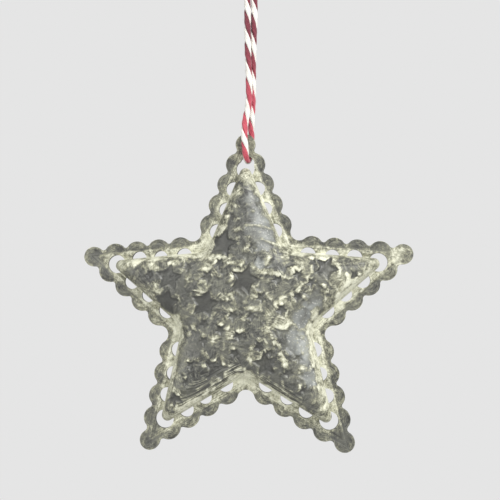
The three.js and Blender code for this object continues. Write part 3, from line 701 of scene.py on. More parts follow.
WEAR_PATCHES = [  # x, z, radius, amount: cream above nought, dark below; on smooth sheet, above nought also lightens the painted sheen
    (-9, 15.5, 3.5, 0.7), (-11, 19, 3, 0.6), (-2.5, 12.5, 2.2, 1), (-12.5, 9, 2.2, 1),
    (4, 11.2, 2.6, 1.7), (10.5, 9.8, 2, 1), (17, 12, 2.4, 1), (11, -5.2, 2.4, 1.4), (8.5, -3.5, 3, 1.1),
    (14, -3, 3.4, 1.2), (16, -8, 3.6, 1.4), (18, -13, 3, 0.8), (20.3, -22, 3, 1), (-5, -8, 2.4, 0.6),
    (-11.5, -17.5, 1.8, 1), (18.5, -18.8, 2.4, 1.5), (17.6, -13, 1.8, 1), (-12, 5, 1.8, 0.8),
    (-8.6, 22.4, 2, 1.2), (-3.2, 34, 3, 1.4), (3.6, 35, 2.4, 0.9), (4.4, 31, 1.8, 1.3),
    (6.6, 26, 1.8, 1.2), (13, 18, 3, 1), (16, 15.6, 2.4, 1), (26, 13.6, 2, 1), (28, 6, 3.6, 1.5),
    (36.5, 9.6, 2.6, 1.2), (37.4, 13.6, 2.4, -0.7), (32.5, 8, 2.6, 1.6), (22.5, 14.8, 2.2, 1.6),
    (27, 1, 2.2, 1.2), (30, 3.6, 2.6, 1.2), (21, 0, 2, 1), (20.5, -5, 3, 1), (20.5, -13, 3.4, 0.8),
    (22.5, -22, 3, 0.8), (22.8, -27.5, 3, 1.5), (22.8, -30.8, 2.4, -0.3), (0, -22, 4, 1.2),
    (8, -25.5, 3.6, 0.5), (13.5, -28, 3, 1), (-5, -21.6, 2.4, 1.2), (-15, -25, 2.6, -0.9),
    (-9, -25.4, 2, -0.5), (-19.4, -30.2, 2.4, 1.6), (-15, -28.6, 2, 1.3), (-22.5, -31.5, 2.4, 0.3),
    (-21.4, -14, 2.6, 1), (-21.6, -19, 2.4, 1), (-20, -6, 3.4, 1), (-31, 2, 2.5, 0.8),
    (-26, -4.5, 2.5, 0.8), (-32, 13.8, 2.2, 1), (-27, 13.8, 2.6, 1.5), (-20.5, 14.6, 3, 1.3),
    (46.5, 15, 3.4, 1.2), (-22.5, 8.5, 5, -0.4), (-23.5, 1.2, 4, -0.5), (-30.5, 10, 3.2, -0.9),
    (-17, 7, 3, -0.9), (-20, 2, 4, -1), (-6.6, 18.6, 3.6, -1), (-12, 1.2, 3.6, -1), (0, 7.2, 3.6, -1),
    (6, 22.5, 5.8, -0.5), (8, -7, 2.6, 0.2), (-12.4, 12.6, 3.4, 0.6), (6.5, -1.5, 2.6, 1),
    (26.6, 9.4, 2.8, 1.2), (-14, -12.5, 4.4, -0.8), (-16, -6, 4, -1.2), (-18, 3, 6, -0.3),
    (-11, -13, 3.4, -0.6), (6.5, -17.5, 4, -0.4), (1.4, -20, 3.4, -1), (-1, -14.5, 3.4, -0.8),
    (4, -12, 2.4, -0.6), (12, -17, 3, -0.7), (-12, -20.5, 4, -0.9), (-9, -7, 3, -0.7),
    (-21.5, -25.5, 2.6, -1), (9, -20.5, 3, -1), (14.5, -24.5, 3, -1), (-2, 31, 2.5, -1),
    (-3, 24, 3.4, -1.1), (0.5, 27, 2.4, -1), (2, 30, 3, -0.7), (2, 20, 3.4, -0.8), (11, 14, 4, -1),
    (24.2, 11.2, 2.8, -0.9), (25.5, 8.5, 2.4, 0.8), (21.5, 3.5, 3, -0.3), (11, -9.4, 3, -0.9),
    (-2.4, 37, 2, -1.2), (33.5, 11.6, 2.6, -1), (-46.5, 14.5, 2.6, -0.2), (-41, 17, 3.6, -0.8),
    (-43, 9.5, 2.6, -1), (-38, 5, 2.4, -0.6), (-20.5, 18.8, 2.6, -0.8), (-34, 17.8, 2.6, -0.8),
    (-27, 18.4, 2.2, -0.6), (-11.5, 26, 4, -0.2), (-8, 34, 3.6, -0.2), (-3.4, 42, 3.4, -1.2),
    (4.6, 42.5, 2.6, -1), (7, 38.4, 2.6, -1), (12.8, 25, 2.6, -1.4), (16, 18.6, 2, -0.8),
    (10.6, 31, 2.2, -0.8), (20.5, 18.6, 2.6, -1), (27.5, 17.8, 2.6, -1), (34.5, 17.4, 2.6, -1),
    (41, 17, 3.4, -0.9), (39, 5.5, 2.6, -0.8), (26, -22, 2.6, -0.8), (29.6, -40, 4.4, -1),
    (29, -33, 3, -0.8), (-29.6, -40.8, 2.4, -1), (-28.5, -26, 3.6, -0.2), (-30.5, -32, 3.4, -0.4),
    (-20, -34.5, 4, -0.4), (-14, -31.5, 3, -0.7), (21, -36, 3, -0.7), (-9, 27.5, 2, -1),
    (-6.6, 33.5, 2, -1), (-25.2, -22, 2, -1), (-23.8, -13, 2, -0.6), (-37, 16.2, 2.2, -1),
    (34.2, 3.6, 2.4, -1), (23, 17.4, 2, -0.9), (-29.8, 0.2, 2, -0.8), (-3, -26, 3, -0.8),
    (-13.6, -31, 2, -0.8), (11, 15.6, 2.8, -1.6), (0.5, 17, 2.6, -0.8), (-33.5, 13.2, 2.4, 1.2),
    (-6.5, -27.5, 2.4, -0.9), (20.5, -2.4, 2, 1.2), (3, 28, 2.4, -0.8), (-6, 30, 2, 1), (1, 3, 3, -0.7),
    (-28, 8.5, 2.4, -0.8), (-5, -7.4, 4, -0.5), (-14, -12.5, 3, -0.6), (11, -15, 3, -0.8),
    (24.8, -22.6, 1.8, -1), (4.2, 33, 1.8, 1), (-6, 13, 2.2, 1), (29.4, 7.4, 2.4, 1.2),
    (-22.3, 14, 1.8, -0.8), (22.3, 13.8, 2.2, 1.1), (-27, 7.2, 2, -0.7), (1.5, 34, 2, -0.9),
    (9.6, 28, 1.8, -0.8), (1, 17.2, 2, -0.5), (-4, 10.6, 1.8, -0.7), (18, 7, 1.8, -0.7),
    (15, 2, 2.4, -0.6), (2.5, -12, 2.2, -1), (10, -11.4, 1.8, -0.9), (12, -16.6, 1.8, -0.7),
    (-12.2, -13, 2, -1), (-5.2, -14.6, 2, -0.7), (-15.4, -6.6, 1.8, -0.7), (11.2, -23.6, 1.6, -0.7),
    (2.6, 31.4, 3, -1.6), (3.6, 27.4, 2.6, -0.5), (9, 21, 2.4, 0.5), (22.6, -30.2, 1.8, -1.4),
    (-27, -34.2, 2.6, -1.1), (-39.6, 16.4, 2, -0.6), (-27.6, 17.2, 2, -0.7), (37, 16.6, 1.8, -0.6),
    (31.6, 0.6, 2.2, -0.7), (5.6, -14, 1.8, 0.7), (8.6, -15.2, 1.6, 0.7), (0, -21.6, 3, 0.9),
    (-20, -14.5, 2.4, 0.8), (-20.4, -20, 2.2, 0.8), (18.6, -19, 1.8, 0.8), (19.6, -24.6, 1.8, 0.8),
    (12.8, -26.6, 1.6, 0.6), (7.6, 26.6, 2, 0.6), (5, 30.6, 1.6, 0.9), (-26.2, 4.2, 1.8, 0.8),
    (-6, 3, 1.6, 0.7), (6, 9.4, 2.6, 0.6), (-36, 13.8, 2.6, -1), (-32, 15.4, 2.6, -0.8),
    (-46.6, 15, 2, -0.6), (-27.4, 8.6, 2, -0.7), (11.2, 15.6, 2, -0.8), (22.6, 17.6, 2.4, -0.8),
    (9.8, 28.6, 1.8, -1), (11.6, 25, 1.8, -0.8), (-2.6, 43.4, 1.8, -1.2), (-10.6, -23.2, 2.2, -1),
    (-3, -19.4, 2.4, -0.7), (1.8, -20, 1.8, -0.8), (-22.4, -30.4, 2, -0.9), (-26.2, -26.6, 1.8, -0.8),
    (-19.4, -26.4, 1.8, -0.7), (-28.6, -34.2, 2.2, -0.8), (48, 14, 2, -0.7), (38.6, 16.6, 2, -0.6),
    (28.4, 16.8, 2, -0.6), (25.6, -37.6, 2.4, -0.7), (18.6, -34.2, 2, -0.7), (7.4, -27.6, 2, -0.7),
    (27.6, 9.6, 2.4, 0.8), (29.6, 4.6, 1.8, 0.9), (34.6, 10.6, 1.6, 0.8), (19, -19.4, 1.8, 0.8),
    (23.4, -28, 2.4, 0.7), (-19.2, -5.4, 2.2, 0.8), (-20.2, -19.6, 2, 0.6), (4.4, 32, 1.6, 0.9),
    (7.6, 9.4, 2.6, 0.6), (17, -3.2, 2.4, -1.3), (21.4, -18, 2.6, 1), (0, -23.6, 3.4, 0.9),
    (-43, 15.6, 2.4, 1.2), (-17.4, 0, 1.8, 0.8), (-32.6, 10.6, 1.8, -0.8), (45.6, 15.8, 2.2, 0.8),
    (-22.5, 10.8, 2.4, 0.8), (-6.4, 3, 1.6, 0.6), (12, -27.2, 1.8, 0.7), (10, 0.5, 2.6, 0.5),
    (11, -6, 2, 0.5), (-7.4, 22.4, 1.8, 0.6), (5, 16, 1.6, 0.7), (-29, 11, 1.8, 0.5),
]
STAR_WAIST = 0.5  # inner radius of an embossed star as a share of its outer one
STAR_DEPTH = 0.5
SHINY_DEPTH_SHARE = 0.5  # the shiny stars are pressed less deep
STAR_SLOPE = (-0.36, 0.18)  # where its side begins and ends, from the outline, negative inside it
STAR_WOBBLE = 0.45  # how far the stars' outlines stray
STAR_SHADOW_LINE = (-0.2, 0.26)  # distance of a soft dark line of painted shadow from the outline, negative inside it, and its width
SMALL_STAR_ANGLE = -90
BIG_HALO = 0.9  # reach of the rubbed edge round a big star, and round a small one
SMALL_HALO = 0.6
HALO_START = 0.2  # distance from the outline where the rub starts to thin out
PLATE_HEIGHT = 0.36
PLATE_SLOPE = (-0.5, 0.2)  # a plate's slope and lines are given as a star's are
PLATE_RUB_LINE = (-0.4, 0.42)
# the plate's dark line just outside its edge is painted shadow
PLATE_SHADOW_LINE = (0.38, 0.3)
PIP_HEIGHT = 0.38
PIP_RADIUS = 0.5
KNOB_TOP = 0.4  # how far its round top reaches, and how far out its line of painted shadow lies, in radii
KNOB_SHADOW = 1.25
KNOB_SHADOW_WIDTH = 0.25
RIDGE_HEIGHT = 0.26
RIDGE_WIDTH = 0.42
EMBOSSING_START = 0.05  # distance from the dome's foot, and how far the embossing takes to its full height
EMBOSSING_FADE = 0.9
WEAR_SIDE = 0.3  # how far to the lower right an edge is looked for
SPOT_CORE = 0.5  # a soft spot is whole up to this share of its radius, and gone past the next one
SPOT_REACH = 1.3
FINE_LEAN = 0.4  # the finest lumps lean, and are flatter than they are wide
FINE_FLATNESS = 1.5
BAND_EDGE = 0.74  # how far the cream band reaches past the scallops' centre line
BAND_HEIGHT = 0.24
BAND_BLUR = (0.7, 0.6)  # how far before its edge and past it the band fades out
BAND_TIP_FADE = 6.0  # how far past the middle of a tip's hole the band has faded out
CREASE_WIDTH = 0.22
CREASE_DEPTH = 0.06
LOBE_START = 0.3  # how far past the band's edge a scallop's lobe has its full height
LOBE_HEIGHT = 0.06
LOBE_UNEVEN = 0.07
FACET_SIZE = 2.3
FACET_SEED = 7
FACET_EDGE = 0.3  # how far the step between two facets is felt
FACET_TURN = 2.4  # how far the streaks turn from facet to facet, in radians
FACET_STREAKS = 1.8  # how much shorter the streaks are there, and how much wider
FACET_SPACING = 0.55
STREAK_RADIUS = 0.75 * TIP_RADIUS  # of the circle on which the streaks round the star are looked up
LOBE_STREAKS = (4.0, 1.3)  # how much shorter and how much finer the streaks are that go round a scallop
LOBE_SHIFT = 9.0  # sets each scallop's streaks apart from the next one's
EDGE_STREAKS = 2.0  # how much further in the streaks follow the edge in the two lower arms
LOWER_ARMS = (-14, -20)  # heights between which the two lower arms begin
SMOOTHING = (1.2, 5.0)  # distances from the foot where the smoothing of the dome sets in and is full
FACE_BRUSHED = (1.6, 4.2)  # the same for the brush marks of the face
STRAY = 1.5  # how far the outlines of soft spots stray
WALL_WIDTH = 0.75  # how far the dome's plain foot reaches in along the arms, and in the wide places
WIDE_WALL = 1.95
WALL_RAGGED = 0.8  # how far its inner edge strays
WALL_BLUR = (0.5, 0.4)  # how far before that edge and past it the foot turns into the face
EDGE_WEAR_LINE = (1.6, 1.3)  # distance from the dome's foot of the soft line of rub along it, and its width
SHOULDER_WIDTH = 0.35  # of the dark line where the plain foot turns into the face
INNER_RUB = -0.3  # the sheet's inner side is less rubbed
NOISES = {  # size of the lumps in millimetres, seed, octaves
    "coarse": (2.6, 3.1, 2),
    "fine": (1.3, 8.7, 2),
    "smear": (4.6, 67.0, 1),
    "blotch": (2.0, 31.7, 2),
    "wobble x": (1.9, 17.0, 1),
    "wobble z": (1.9, 29.0, 1),
    "stray x": (3.0, 83.0, 2),
    "stray z": (3.0, 91.0, 2),
    "wall": (2.0, 71.3, 1),
    "edge wear": (2.4, 53.0, 2),
    "shoulder": (6.0, 61.0, 1),
}
OWN_NOISES = {  # the same for what differs between the two stampings
    "ragged": (2.4, 14.4, 2),
    "crease": (5.0, 44.0, 1),
    "lobe": (3.0, 5.5, 1),
    "broad": (7.0, 2.2, 2),
}
BACK_SEED = 40.0  # is added to the seeds of these for the back


def eased(value, low, high):
    share = np.clip((value - low) / (high - low), 0, 1)
    return share * share * (3 - 2 * share)


def soft_line(distance, at, width):
    """1 where the distance is at, falling off on both sides of it within about width"""
    return np.exp(-(((distance - at) / width) ** 2))


def star_edge_distance(x, z, centre_x, centre_z, radius, angle):
    """Distance from an embossed star's edge, negative inside it"""
    dx, dz = x - centre_x, z - centre_z
    turn = np.arctan2(dz, dx) - math.radians(angle)
    turn = np.abs((turn + HALF_TURN) % (2 * HALF_TURN) - HALF_TURN)
    reach = np.hypot(dx, dz)
    waist = radius * STAR_WAIST
    edge = np.array([waist * math.cos(HALF_TURN) - radius, waist * math.sin(HALF_TURN)])
    outward = np.array([edge[1], -edge[0]]) / np.linalg.norm(edge)
    return (reach * np.cos(turn) - radius) * outward[0] + reach * np.sin(turn) * outward[1]


def chain_distance(x, z, chain):
    nearest = np.full(len(x), np.inf)
    for (x1, z1), (x2, z2) in zip(chain, chain[1:]):
        dx, dz = x2 - x1, z2 - z1
        share = np.clip(((x - x1) * dx + (z - z1) * dz) / (dx * dx + dz * dz), 0, 1)
        nearest = np.minimum(nearest, np.hypot(x - x1 - share * dx, z - z1 - share * dz))
    return nearest


def plate_edge_distance(x, z, outline):
    """Distance from a plate's edge, negative inside it"""
    inside = inside_polygon(np.stack([x, z], 1), np.array(outline))
    return chain_distance(x, z, [*outline, outline[0]]) * np.where(inside, -1, 1)


def patch(x, z, centre_x, centre_z, radius):
    """How much each point lies in a soft round spot, 0 to 1"""
    return 1 - eased(np.hypot(x - centre_x, z - centre_z), SPOT_CORE * radius, SPOT_REACH * radius)


def patches(x, z, spots):
    """How much each point lies in any of the spots"""
    return np.max([patch(x, z, *spot) for spot in spots], 0)


def noise_at(x, z, size, seed, octaves=1):
    """Noise from about -1 to 1 with lumps about size wide"""
    total = np.zeros(len(x))
    for octave in range(octaves):
        scale = 2**octave / size
        values = [noise.noise((a, b, seed + octave)) for a, b in zip(x * scale, z * scale)]
        total += np.array(values) / 2**octave
    return total


def facets(x, z):
    """Level of the small facets the face is broken into, -1 to 1, and how much of a step there is nearby"""
    random = np.random.default_rng(FACET_SEED)
    reach = TIP_RADIUS
    count = int((2 * reach / FACET_SIZE) ** 2)
    spots = random.uniform(-reach, reach, (count, 2))
    levels = random.uniform(-1, 1, count)
    tree = kdtree.KDTree(count)
    for i, spot in enumerate(spots):
        tree.insert((*spot, 0), i)
    tree.balance()
    level, step = np.zeros(len(x)), np.zeros(len(x))
    for i, (a, b) in enumerate(zip(x, z)):
        (_, near, first), (_, other, second) = tree.find_n((a, b, 0), 2)
        level[i] = levels[near]
        step[i] = abs(levels[near] - levels[other]) / 2 * math.exp(-(((second - first) / FACET_EDGE) ** 2))
    return level, step


def all_stars():
    """x, z, radius and angle of each embossed star, reach of its rubbed edge, and whether its inside gets the
    painted sheen
    """
    stars = [(*star, BIG_HALO, True) for star in SHINY_STARS]
    stars += [(*star, BIG_HALO, False) for star in DULL_STARS]
    return stars + [(*star, SMALL_STAR_ANGLE, SMALL_HALO, False) for star in SMALL_STARS]


class Face:
    """The dome's face, point by point: its relief in millimetres, and what the finish reads

    smooth is sheet with little embossing, painted lighter greys as sheen; calm has little embossing, sunk
    lies in a star, worn is rubbed to cream, and dark lines lie on the facets' steps and, as painted shadow,
    along the edges of stars, plates and knobs. The cream is stronger, and that shadow thicker, at edges
    facing down and right.
    """

    def __init__(self, blank):
        self.x = blank.x
        self.z = blank.z
        self.smooth = patches(*blank.strayed, SMOOTH_PATCHES)
        self.calm = np.maximum(self.smooth, patches(*blank.strayed, CALM_PATCHES))
        self.blotch = blank.noise("blotch")
        coarse = blank.noise("coarse")
        fine = noise_at(self.x + FINE_LEAN * self.z, FINE_FLATNESS * self.z, *NOISES["fine"])
        self.relief = (0.12 * coarse + 0.1 * fine + 0.2 * blank.level) * (1 - 0.94 * self.calm)
        smear = blank.noise("smear")
        worn = 0.8 * smear + 0.75 * coarse + 0.25 * fine + 0.24 * blank.level - 0.35 * blank.step
        self.worn = worn * (1 - 0.7 * self.calm)
        # dark lines along the steps between facets
        self.dark_lines = 0.5 * blank.step * (1 - self.calm)
        self.sunk = np.zeros(len(self.x))
        self.raise_plates()
        halo = self.press_stars(blank)
        self.raise_pips()
        self.raise_knobs()
        self.raise_ridges()
        self.worn += halo * (0.34 + 0.5 * self.blotch) * (1 - 0.6 * self.calm)
        fade_in = eased(blank.inside_foot, EMBOSSING_START, EMBOSSING_START + EMBOSSING_FADE)
        self.relief *= fade_in
        self.sunk *= fade_in
        self.dark_lines *= fade_in

    def raise_plates(self):
        """Flat islands between the stars"""
        for outline in PLATES:
            distance = plate_edge_distance(self.x, self.z, outline)
            beside = plate_edge_distance(self.x + WEAR_SIDE, self.z - WEAR_SIDE, outline)
            facing = np.clip((beside - distance) / WEAR_SIDE, 0, 1)
            plate = 1 - eased(distance, *PLATE_SLOPE)
            edge = soft_line(distance, *PLATE_RUB_LINE) * (0.2 + 0.8 * facing)
            rubbed = self.worn * 0.7 + (0.22 + 0.3 * self.blotch) * plate + 0.4 * edge
            self.relief = np.maximum(self.relief, self.relief * 0.6 + PLATE_HEIGHT * plate)
            self.worn = np.maximum(self.worn, rubbed)
            # painted shadow: a dark line just outside the plate, mostly on the side that faces down and to
            # the right
            line = soft_line(distance, *PLATE_SHADOW_LINE) * (0.15 + 0.85 * facing)
            self.dark_lines = np.maximum(self.dark_lines, line)

    def press_stars(self, blank):
        """Sunk stars. Returns how much each point lies on the rubbed edge round one."""
        wobble_x = self.x + STAR_WOBBLE * blank.noise("wobble x")
        wobble_z = self.z + STAR_WOBBLE * blank.noise("wobble z")
        halo = np.zeros(len(self.x))
        for *star, halo_width, shiny in all_stars():
            distance = star_edge_distance(wobble_x, wobble_z, *star)
            beside = star_edge_distance(wobble_x + WEAR_SIDE, wobble_z - WEAR_SIDE, *star)
            facing = np.clip((distance - beside) / WEAR_SIDE, 0, 1)
            near = soft_line(np.maximum(distance - HALO_START, 0), 0, halo_width)
            halo = np.maximum(halo, near * (0.25 + 0.75 * facing))
            inside = 1 - eased(distance, *STAR_SLOPE)
            depth = STAR_DEPTH * (SHINY_DEPTH_SHARE if shiny else 1)
            self.relief = self.relief * (1 - inside) - depth * inside
            # a shiny star's inside counts as smooth, so it takes the painted sheen
            if shiny:
                self.smooth = np.maximum(self.smooth, inside)
            self.sunk = np.maximum(self.sunk, inside)
            # painted shadow: a dark line just inside the star's edge, mostly on the side that faces down and
            # to the right, fainter in a shiny star
            line = soft_line(distance, *STAR_SHADOW_LINE) * (0.3 + 0.7 * facing)
            self.dark_lines = np.maximum(self.dark_lines, line * (0.3 if shiny else 1))
        return halo

    def raise_pips(self):
        """Small round points"""
        for spot_x, spot_z in PIPS:
            pip = np.exp(-(((self.x - spot_x) ** 2 + (self.z - spot_z) ** 2) / PIP_RADIUS**2))
            self.relief += PIP_HEIGHT * pip
            self.worn += 0.85 * pip

    def raise_knobs(self):
        """Larger round points, each with a painted shadow to its upper right"""
        for knob_x, knob_z, size in KNOBS:
            dx, dz = self.x - knob_x, self.z - knob_z
            distance = np.hypot(dx, dz) + 1e-6
            knob = 1 - eased(distance, KNOB_TOP * size, size)
            self.relief += PIP_HEIGHT * knob
            self.worn += 0.7 * knob
            behind = np.clip((dx + dz) / (1.4 * distance), 0, 1)
            self.dark_lines = np.maximum(self.dark_lines, soft_line(distance, KNOB_SHADOW * size, KNOB_SHADOW_WIDTH) * behind)

    def raise_ridges(self):
        """Low drawn-out ridges"""
        for chain in RIDGES:
            ridge = soft_line(chain_distance(self.x, self.z, chain), 0, RIDGE_WIDTH)
            self.relief += RIDGE_HEIGHT * ridge
            self.worn += ridge * (0.35 * (0.7 + self.blotch) + 0.5 * self.smooth)


# The stampings

def flat_blank(side):
    """The star cut from flat sheet: points in millimetres and triangles, without the holes"""
    outline = round_the_star(half_arm_outline())
    foot = round_the_star(half_foot())
    punched = holes(side)
    loops = [outline, foot]
    for centre, radius in punched:
        angles = np.arange(HOLE_SIDES) * 2 * math.pi / HOLE_SIDES
        loops.append(centre + radius * np.stack([np.cos(angles), np.sin(angles)], 1))
    points = np.concatenate(loops)
    edges = []
    first = 0
    for loop in loops:
        edges += [(first + i, first + (i + 1) % len(loop)) for i in range(len(loop))]
        first += len(loop)

    tree = kdtree.KDTree(len(points))
    for i, (x, z) in enumerate(points):
        tree.insert((x, z, 0), i)
    tree.balance()
    reach = TIP_RADIUS + SCALLOP_RADIUS
    row_height = GRID * math.sqrt(3) / 2
    rows = int(reach / row_height)
    columns = int(reach / GRID)
    grid = []
    for row in range(-rows, rows + 1):
        shift = GRID / 2 if row % 2 else 0
        grid += [(column * GRID + shift, row * row_height) for column in range(-columns, columns + 1)]
    grid = np.array(grid)
    grid = grid[inside_polygon(grid, outline)]
    clear = [tree.find((x, z, 0))[2] > GRID_CLEARANCE * GRID for x, z in grid]
    grid = grid[np.array(clear)]

    flat = [Vector(p) for p in np.concatenate([points, grid])]
    found, _, triangles, _, _, _ = geometry.delaunay_2d_cdt(flat, edges, [], 0, 1e-6)
    found = np.array([tuple(p) for p in found])
    triangles = np.array([tuple(t) for t in triangles])
    middle = found[triangles].mean(1)
    keep = inside_polygon(middle, outline)
    on_dome = inside_polygon(middle, foot)
    for centre, radius in punched:
        keep &= (np.hypot(*(middle - centre).T) > radius * math.cos(math.pi / HOLE_SIDES)) | on_dome
    triangles = triangles[keep]
    used, triangles = np.unique(triangles, return_inverse=True)
    return found[used], triangles.reshape(-1, 3)


def relaxed(values, triangles, weight, rounds):
    """values evened out over the triangles' edges, where weight lets them"""
    pairs = np.concatenate([triangles[:, [0, 1]], triangles[:, [1, 2]], triangles[:, [2, 0]]])
    pairs = np.concatenate([pairs, pairs[:, ::-1]])
    count = np.bincount(pairs[:, 0], minlength=len(values))
    for _ in range(rounds):
        mean = np.bincount(pairs[:, 0], weights=values[pairs[:, 1]], minlength=len(values)) / count
        values = values + (mean - values) * weight
    return values


def rim_loops(triangles):
    """Edges that only one triangle has, in the triangles' own direction"""
    pairs = np.concatenate([triangles[:, [0, 1]], triangles[:, [1, 2]], triangles[:, [2, 0]]])
    size = triangles.max() + 1
    forward = pairs[:, 0].astype(np.int64) * size + pairs[:, 1]
    backward = pairs[:, 1].astype(np.int64) * size + pairs[:, 0]
    return pairs[~np.isin(forward, backward)]


def press_tree():
    """Raises the dome and the embossing from a flat slab of sheet"""
    sizes = ["Dome Height", "Dome Softness", "Foot Distance", "Sheet", "Seam Gap"]
    group, t, given = new_tree("press_sheet", {size: "NodeSocketFloat" for size in sizes})

    def named(name):
        node = t.add("GeometryNodeInputNamedAttribute", {"Name": name}, data_type="FLOAT")
        return node.outputs["Attribute"]

    inside, relief, outer = named("inside_foot"), named("relief"), named("outer")
    softness = given["Dome Softness"]
    full = t.times(t.total(1.0, t.over(softness, given["Foot Distance"])), given["Dome Height"])
    reach = t.total(inside, softness)
    rise = t.times(full, t.over(inside, reach))
    slope = t.times(full, t.over(softness, t.times(reach, reach)))
    steepness = t.math("SQRT", t.total(t.times(slope, slope), 1.0))
    seam = t.times(given["Seam Gap"], 0.5)
    face = t.total(t.total(seam, given["Sheet"]), t.total(rise, relief))
    back = t.math("MAXIMUM", t.minus(face, t.times(given["Sheet"], steepness)), seam)
    height = t.total(back, t.times(outer, t.minus(face, back)))
    place = t.add("ShaderNodeSeparateXYZ", {0: t.add("GeometryNodeInputPosition").outputs[0]}).outputs
    lifted = t.add("ShaderNodeCombineXYZ", {0: place[0], 1: t.times(height, -1.0), 2: place[2]}).outputs[0]
    pressed = t.add("GeometryNodeSetPosition", {"Geometry": given["Geometry"], "Position": lifted}).outputs[0]
    end_tree(t, pressed, given["Finish"])
    return group


class Blank:
    """A star cut from flat sheet, and where each of its points lies

    inside_foot and past_foot are distances from the dome's foot, and beyond is one from the scallops' centre
    line. wall_width is the width of the dome's plain foot, and on_face is 1 above it. strayed is the place
    where soft spots are looked up, so that their outlines stray. level and step are those of the facets.
    """

    def __init__(self, side, seed):
        self.seed = seed
        points, self.triangles = flat_blank(side)
        self.x, self.z = points[:, 0], points[:, 1]
        self.u, self.v, self.within, radius = folded(points)
        foot = half_foot()
        foot_angles = np.arctan2(foot[:, 1], foot[:, 0])
        foot_radius = np.interp(self.within, foot_angles, np.hypot(foot[:, 0], foot[:, 1]))
        inside = np.clip(foot_distance * (1 - radius / foot_radius), 0, None)
        self.inside_foot = relaxed(inside, self.triangles, eased(inside, *SMOOTHING), SMOOTHING_ROUNDS)
        self.beyond = self.u * side_outward[0] + self.v * side_outward[1] - side_distance
        self.flat = self.inside_foot <= 0
        self.past_foot = np.clip(self.beyond + FOOT_INSET, 0, None)
        self.strayed = self.x + STRAY * self.noise("stray x"), self.z + STRAY * self.noise("stray z")
        self.level, self.step = facets(self.x, self.z)
        wide = patches(self.x, self.z, WIDE_WALLS)
        self.wall_width = WALL_WIDTH + (WIDE_WALL - WALL_WIDTH) * wide + WALL_RAGGED * self.noise("wall")
        before, past = WALL_BLUR
        self.on_face = eased(self.inside_foot, self.wall_width - before, self.wall_width + past)

    def noise(self, name):
        """One of the named noises at every point"""
        if name in NOISES:
            return noise_at(self.x, self.z, *NOISES[name])
        size, seed, octaves = OWN_NOISES[name]
        return noise_at(self.x, self.z, size, seed + self.seed, octaves)


def flat_rim(blank):
    """Relief of the flat rim, its cream band, the crease along the band's edge, and the scallops' lobes"""
    ragged = 0.5 * blank.noise("ragged")
    before, past = BAND_BLUR
    band = blank.flat * eased(blank.beyond + ragged, BAND_EDGE + past, BAND_EDGE - before)
    band *= 1 - eased(blank.u + ragged, TIP_HOLE_DISTANCE, TIP_HOLE_DISTANCE + BAND_TIP_FADE)
    crown = np.sin(np.clip(blank.past_foot / (FOOT_INSET + BAND_EDGE), 0, 1) * math.pi)
    crease = soft_line(blank.beyond, BAND_EDGE, CREASE_WIDTH) * blank.flat
    crease *= np.clip(0.3 + 1.3 * blank.noise("crease"), 0, 1)
    lobe = blank.flat * eased(blank.beyond, BAND_EDGE, BAND_EDGE + LOBE_START)
    relief = band * crown * BAND_HEIGHT - CREASE_DEPTH * crease
    relief += lobe * (LOBE_UNEVEN * blank.noise("lobe") + LOBE_HEIGHT)
    return relief, band, crease, lobe


def rub_and_tone(blank, face, band, crease):
    """How far each point is rubbed to cream, and its tone: above nought, lighter greys painted as sheen;
    below nought, darker metal
    """
    wear = sum(amount * patch(*blank.strayed, *spot) for *spot, amount in WEAR_PATCHES)
    edge_wear = soft_line(blank.inside_foot, *EDGE_WEAR_LINE) * (0.5 + 0.9 * blank.noise("edge wear"))
    shoulder = soft_line(blank.inside_foot, blank.wall_width, SHOULDER_WIDTH)
    shoulder *= np.clip(blank.noise("shoulder"), 0, 1)
    shoulder *= np.clip(1 - wear, 0, 1)
    wall = (1 - blank.on_face) * (blank.inside_foot > 0)
    dull = 1 - face.smooth

    # the dark lines, painted shadow at the edges of stars, plates and knobs, thin the cream here and on the
    # wall
    rub = 0.05 + face.worn + 0.3 * edge_wear - 0.2 * face.smooth - 1.1 * face.sunk * dull - 0.45 * face.dark_lines
    rub = blank.on_face * rub
    rim = blank.flat * (0.33 + 0.45 * band - 0.42 * crease)
    rub += wall * (0.76 - 0.5 * face.dark_lines) + rim - 0.25 * shoulder
    rub += 0.24 * np.clip(wear, -1.3, 1.8) * (1 - 0.8 * face.smooth) + 0.2 * blank.noise("broad")

    # above nought, tone paints the smooth sheet lighter greys as sheen, lighter still where the wear patches
    # are above nought
    tone = face.smooth * (0.8 * (1 - 0.45 * face.sunk) + 0.4 * np.clip(wear, -1.0, 1.2)) * blank.on_face
    tone += 0.35 * np.clip(wear, -1.5, 0) * dull
    # the dark lines also darken the bare metal as painted shadow, beside the sunk stars' patina and the
    # shoulder line
    tone -= 0.42 * face.sunk * dull + 0.6 * face.dark_lines + 0.35 * shoulder
    return rub, tone


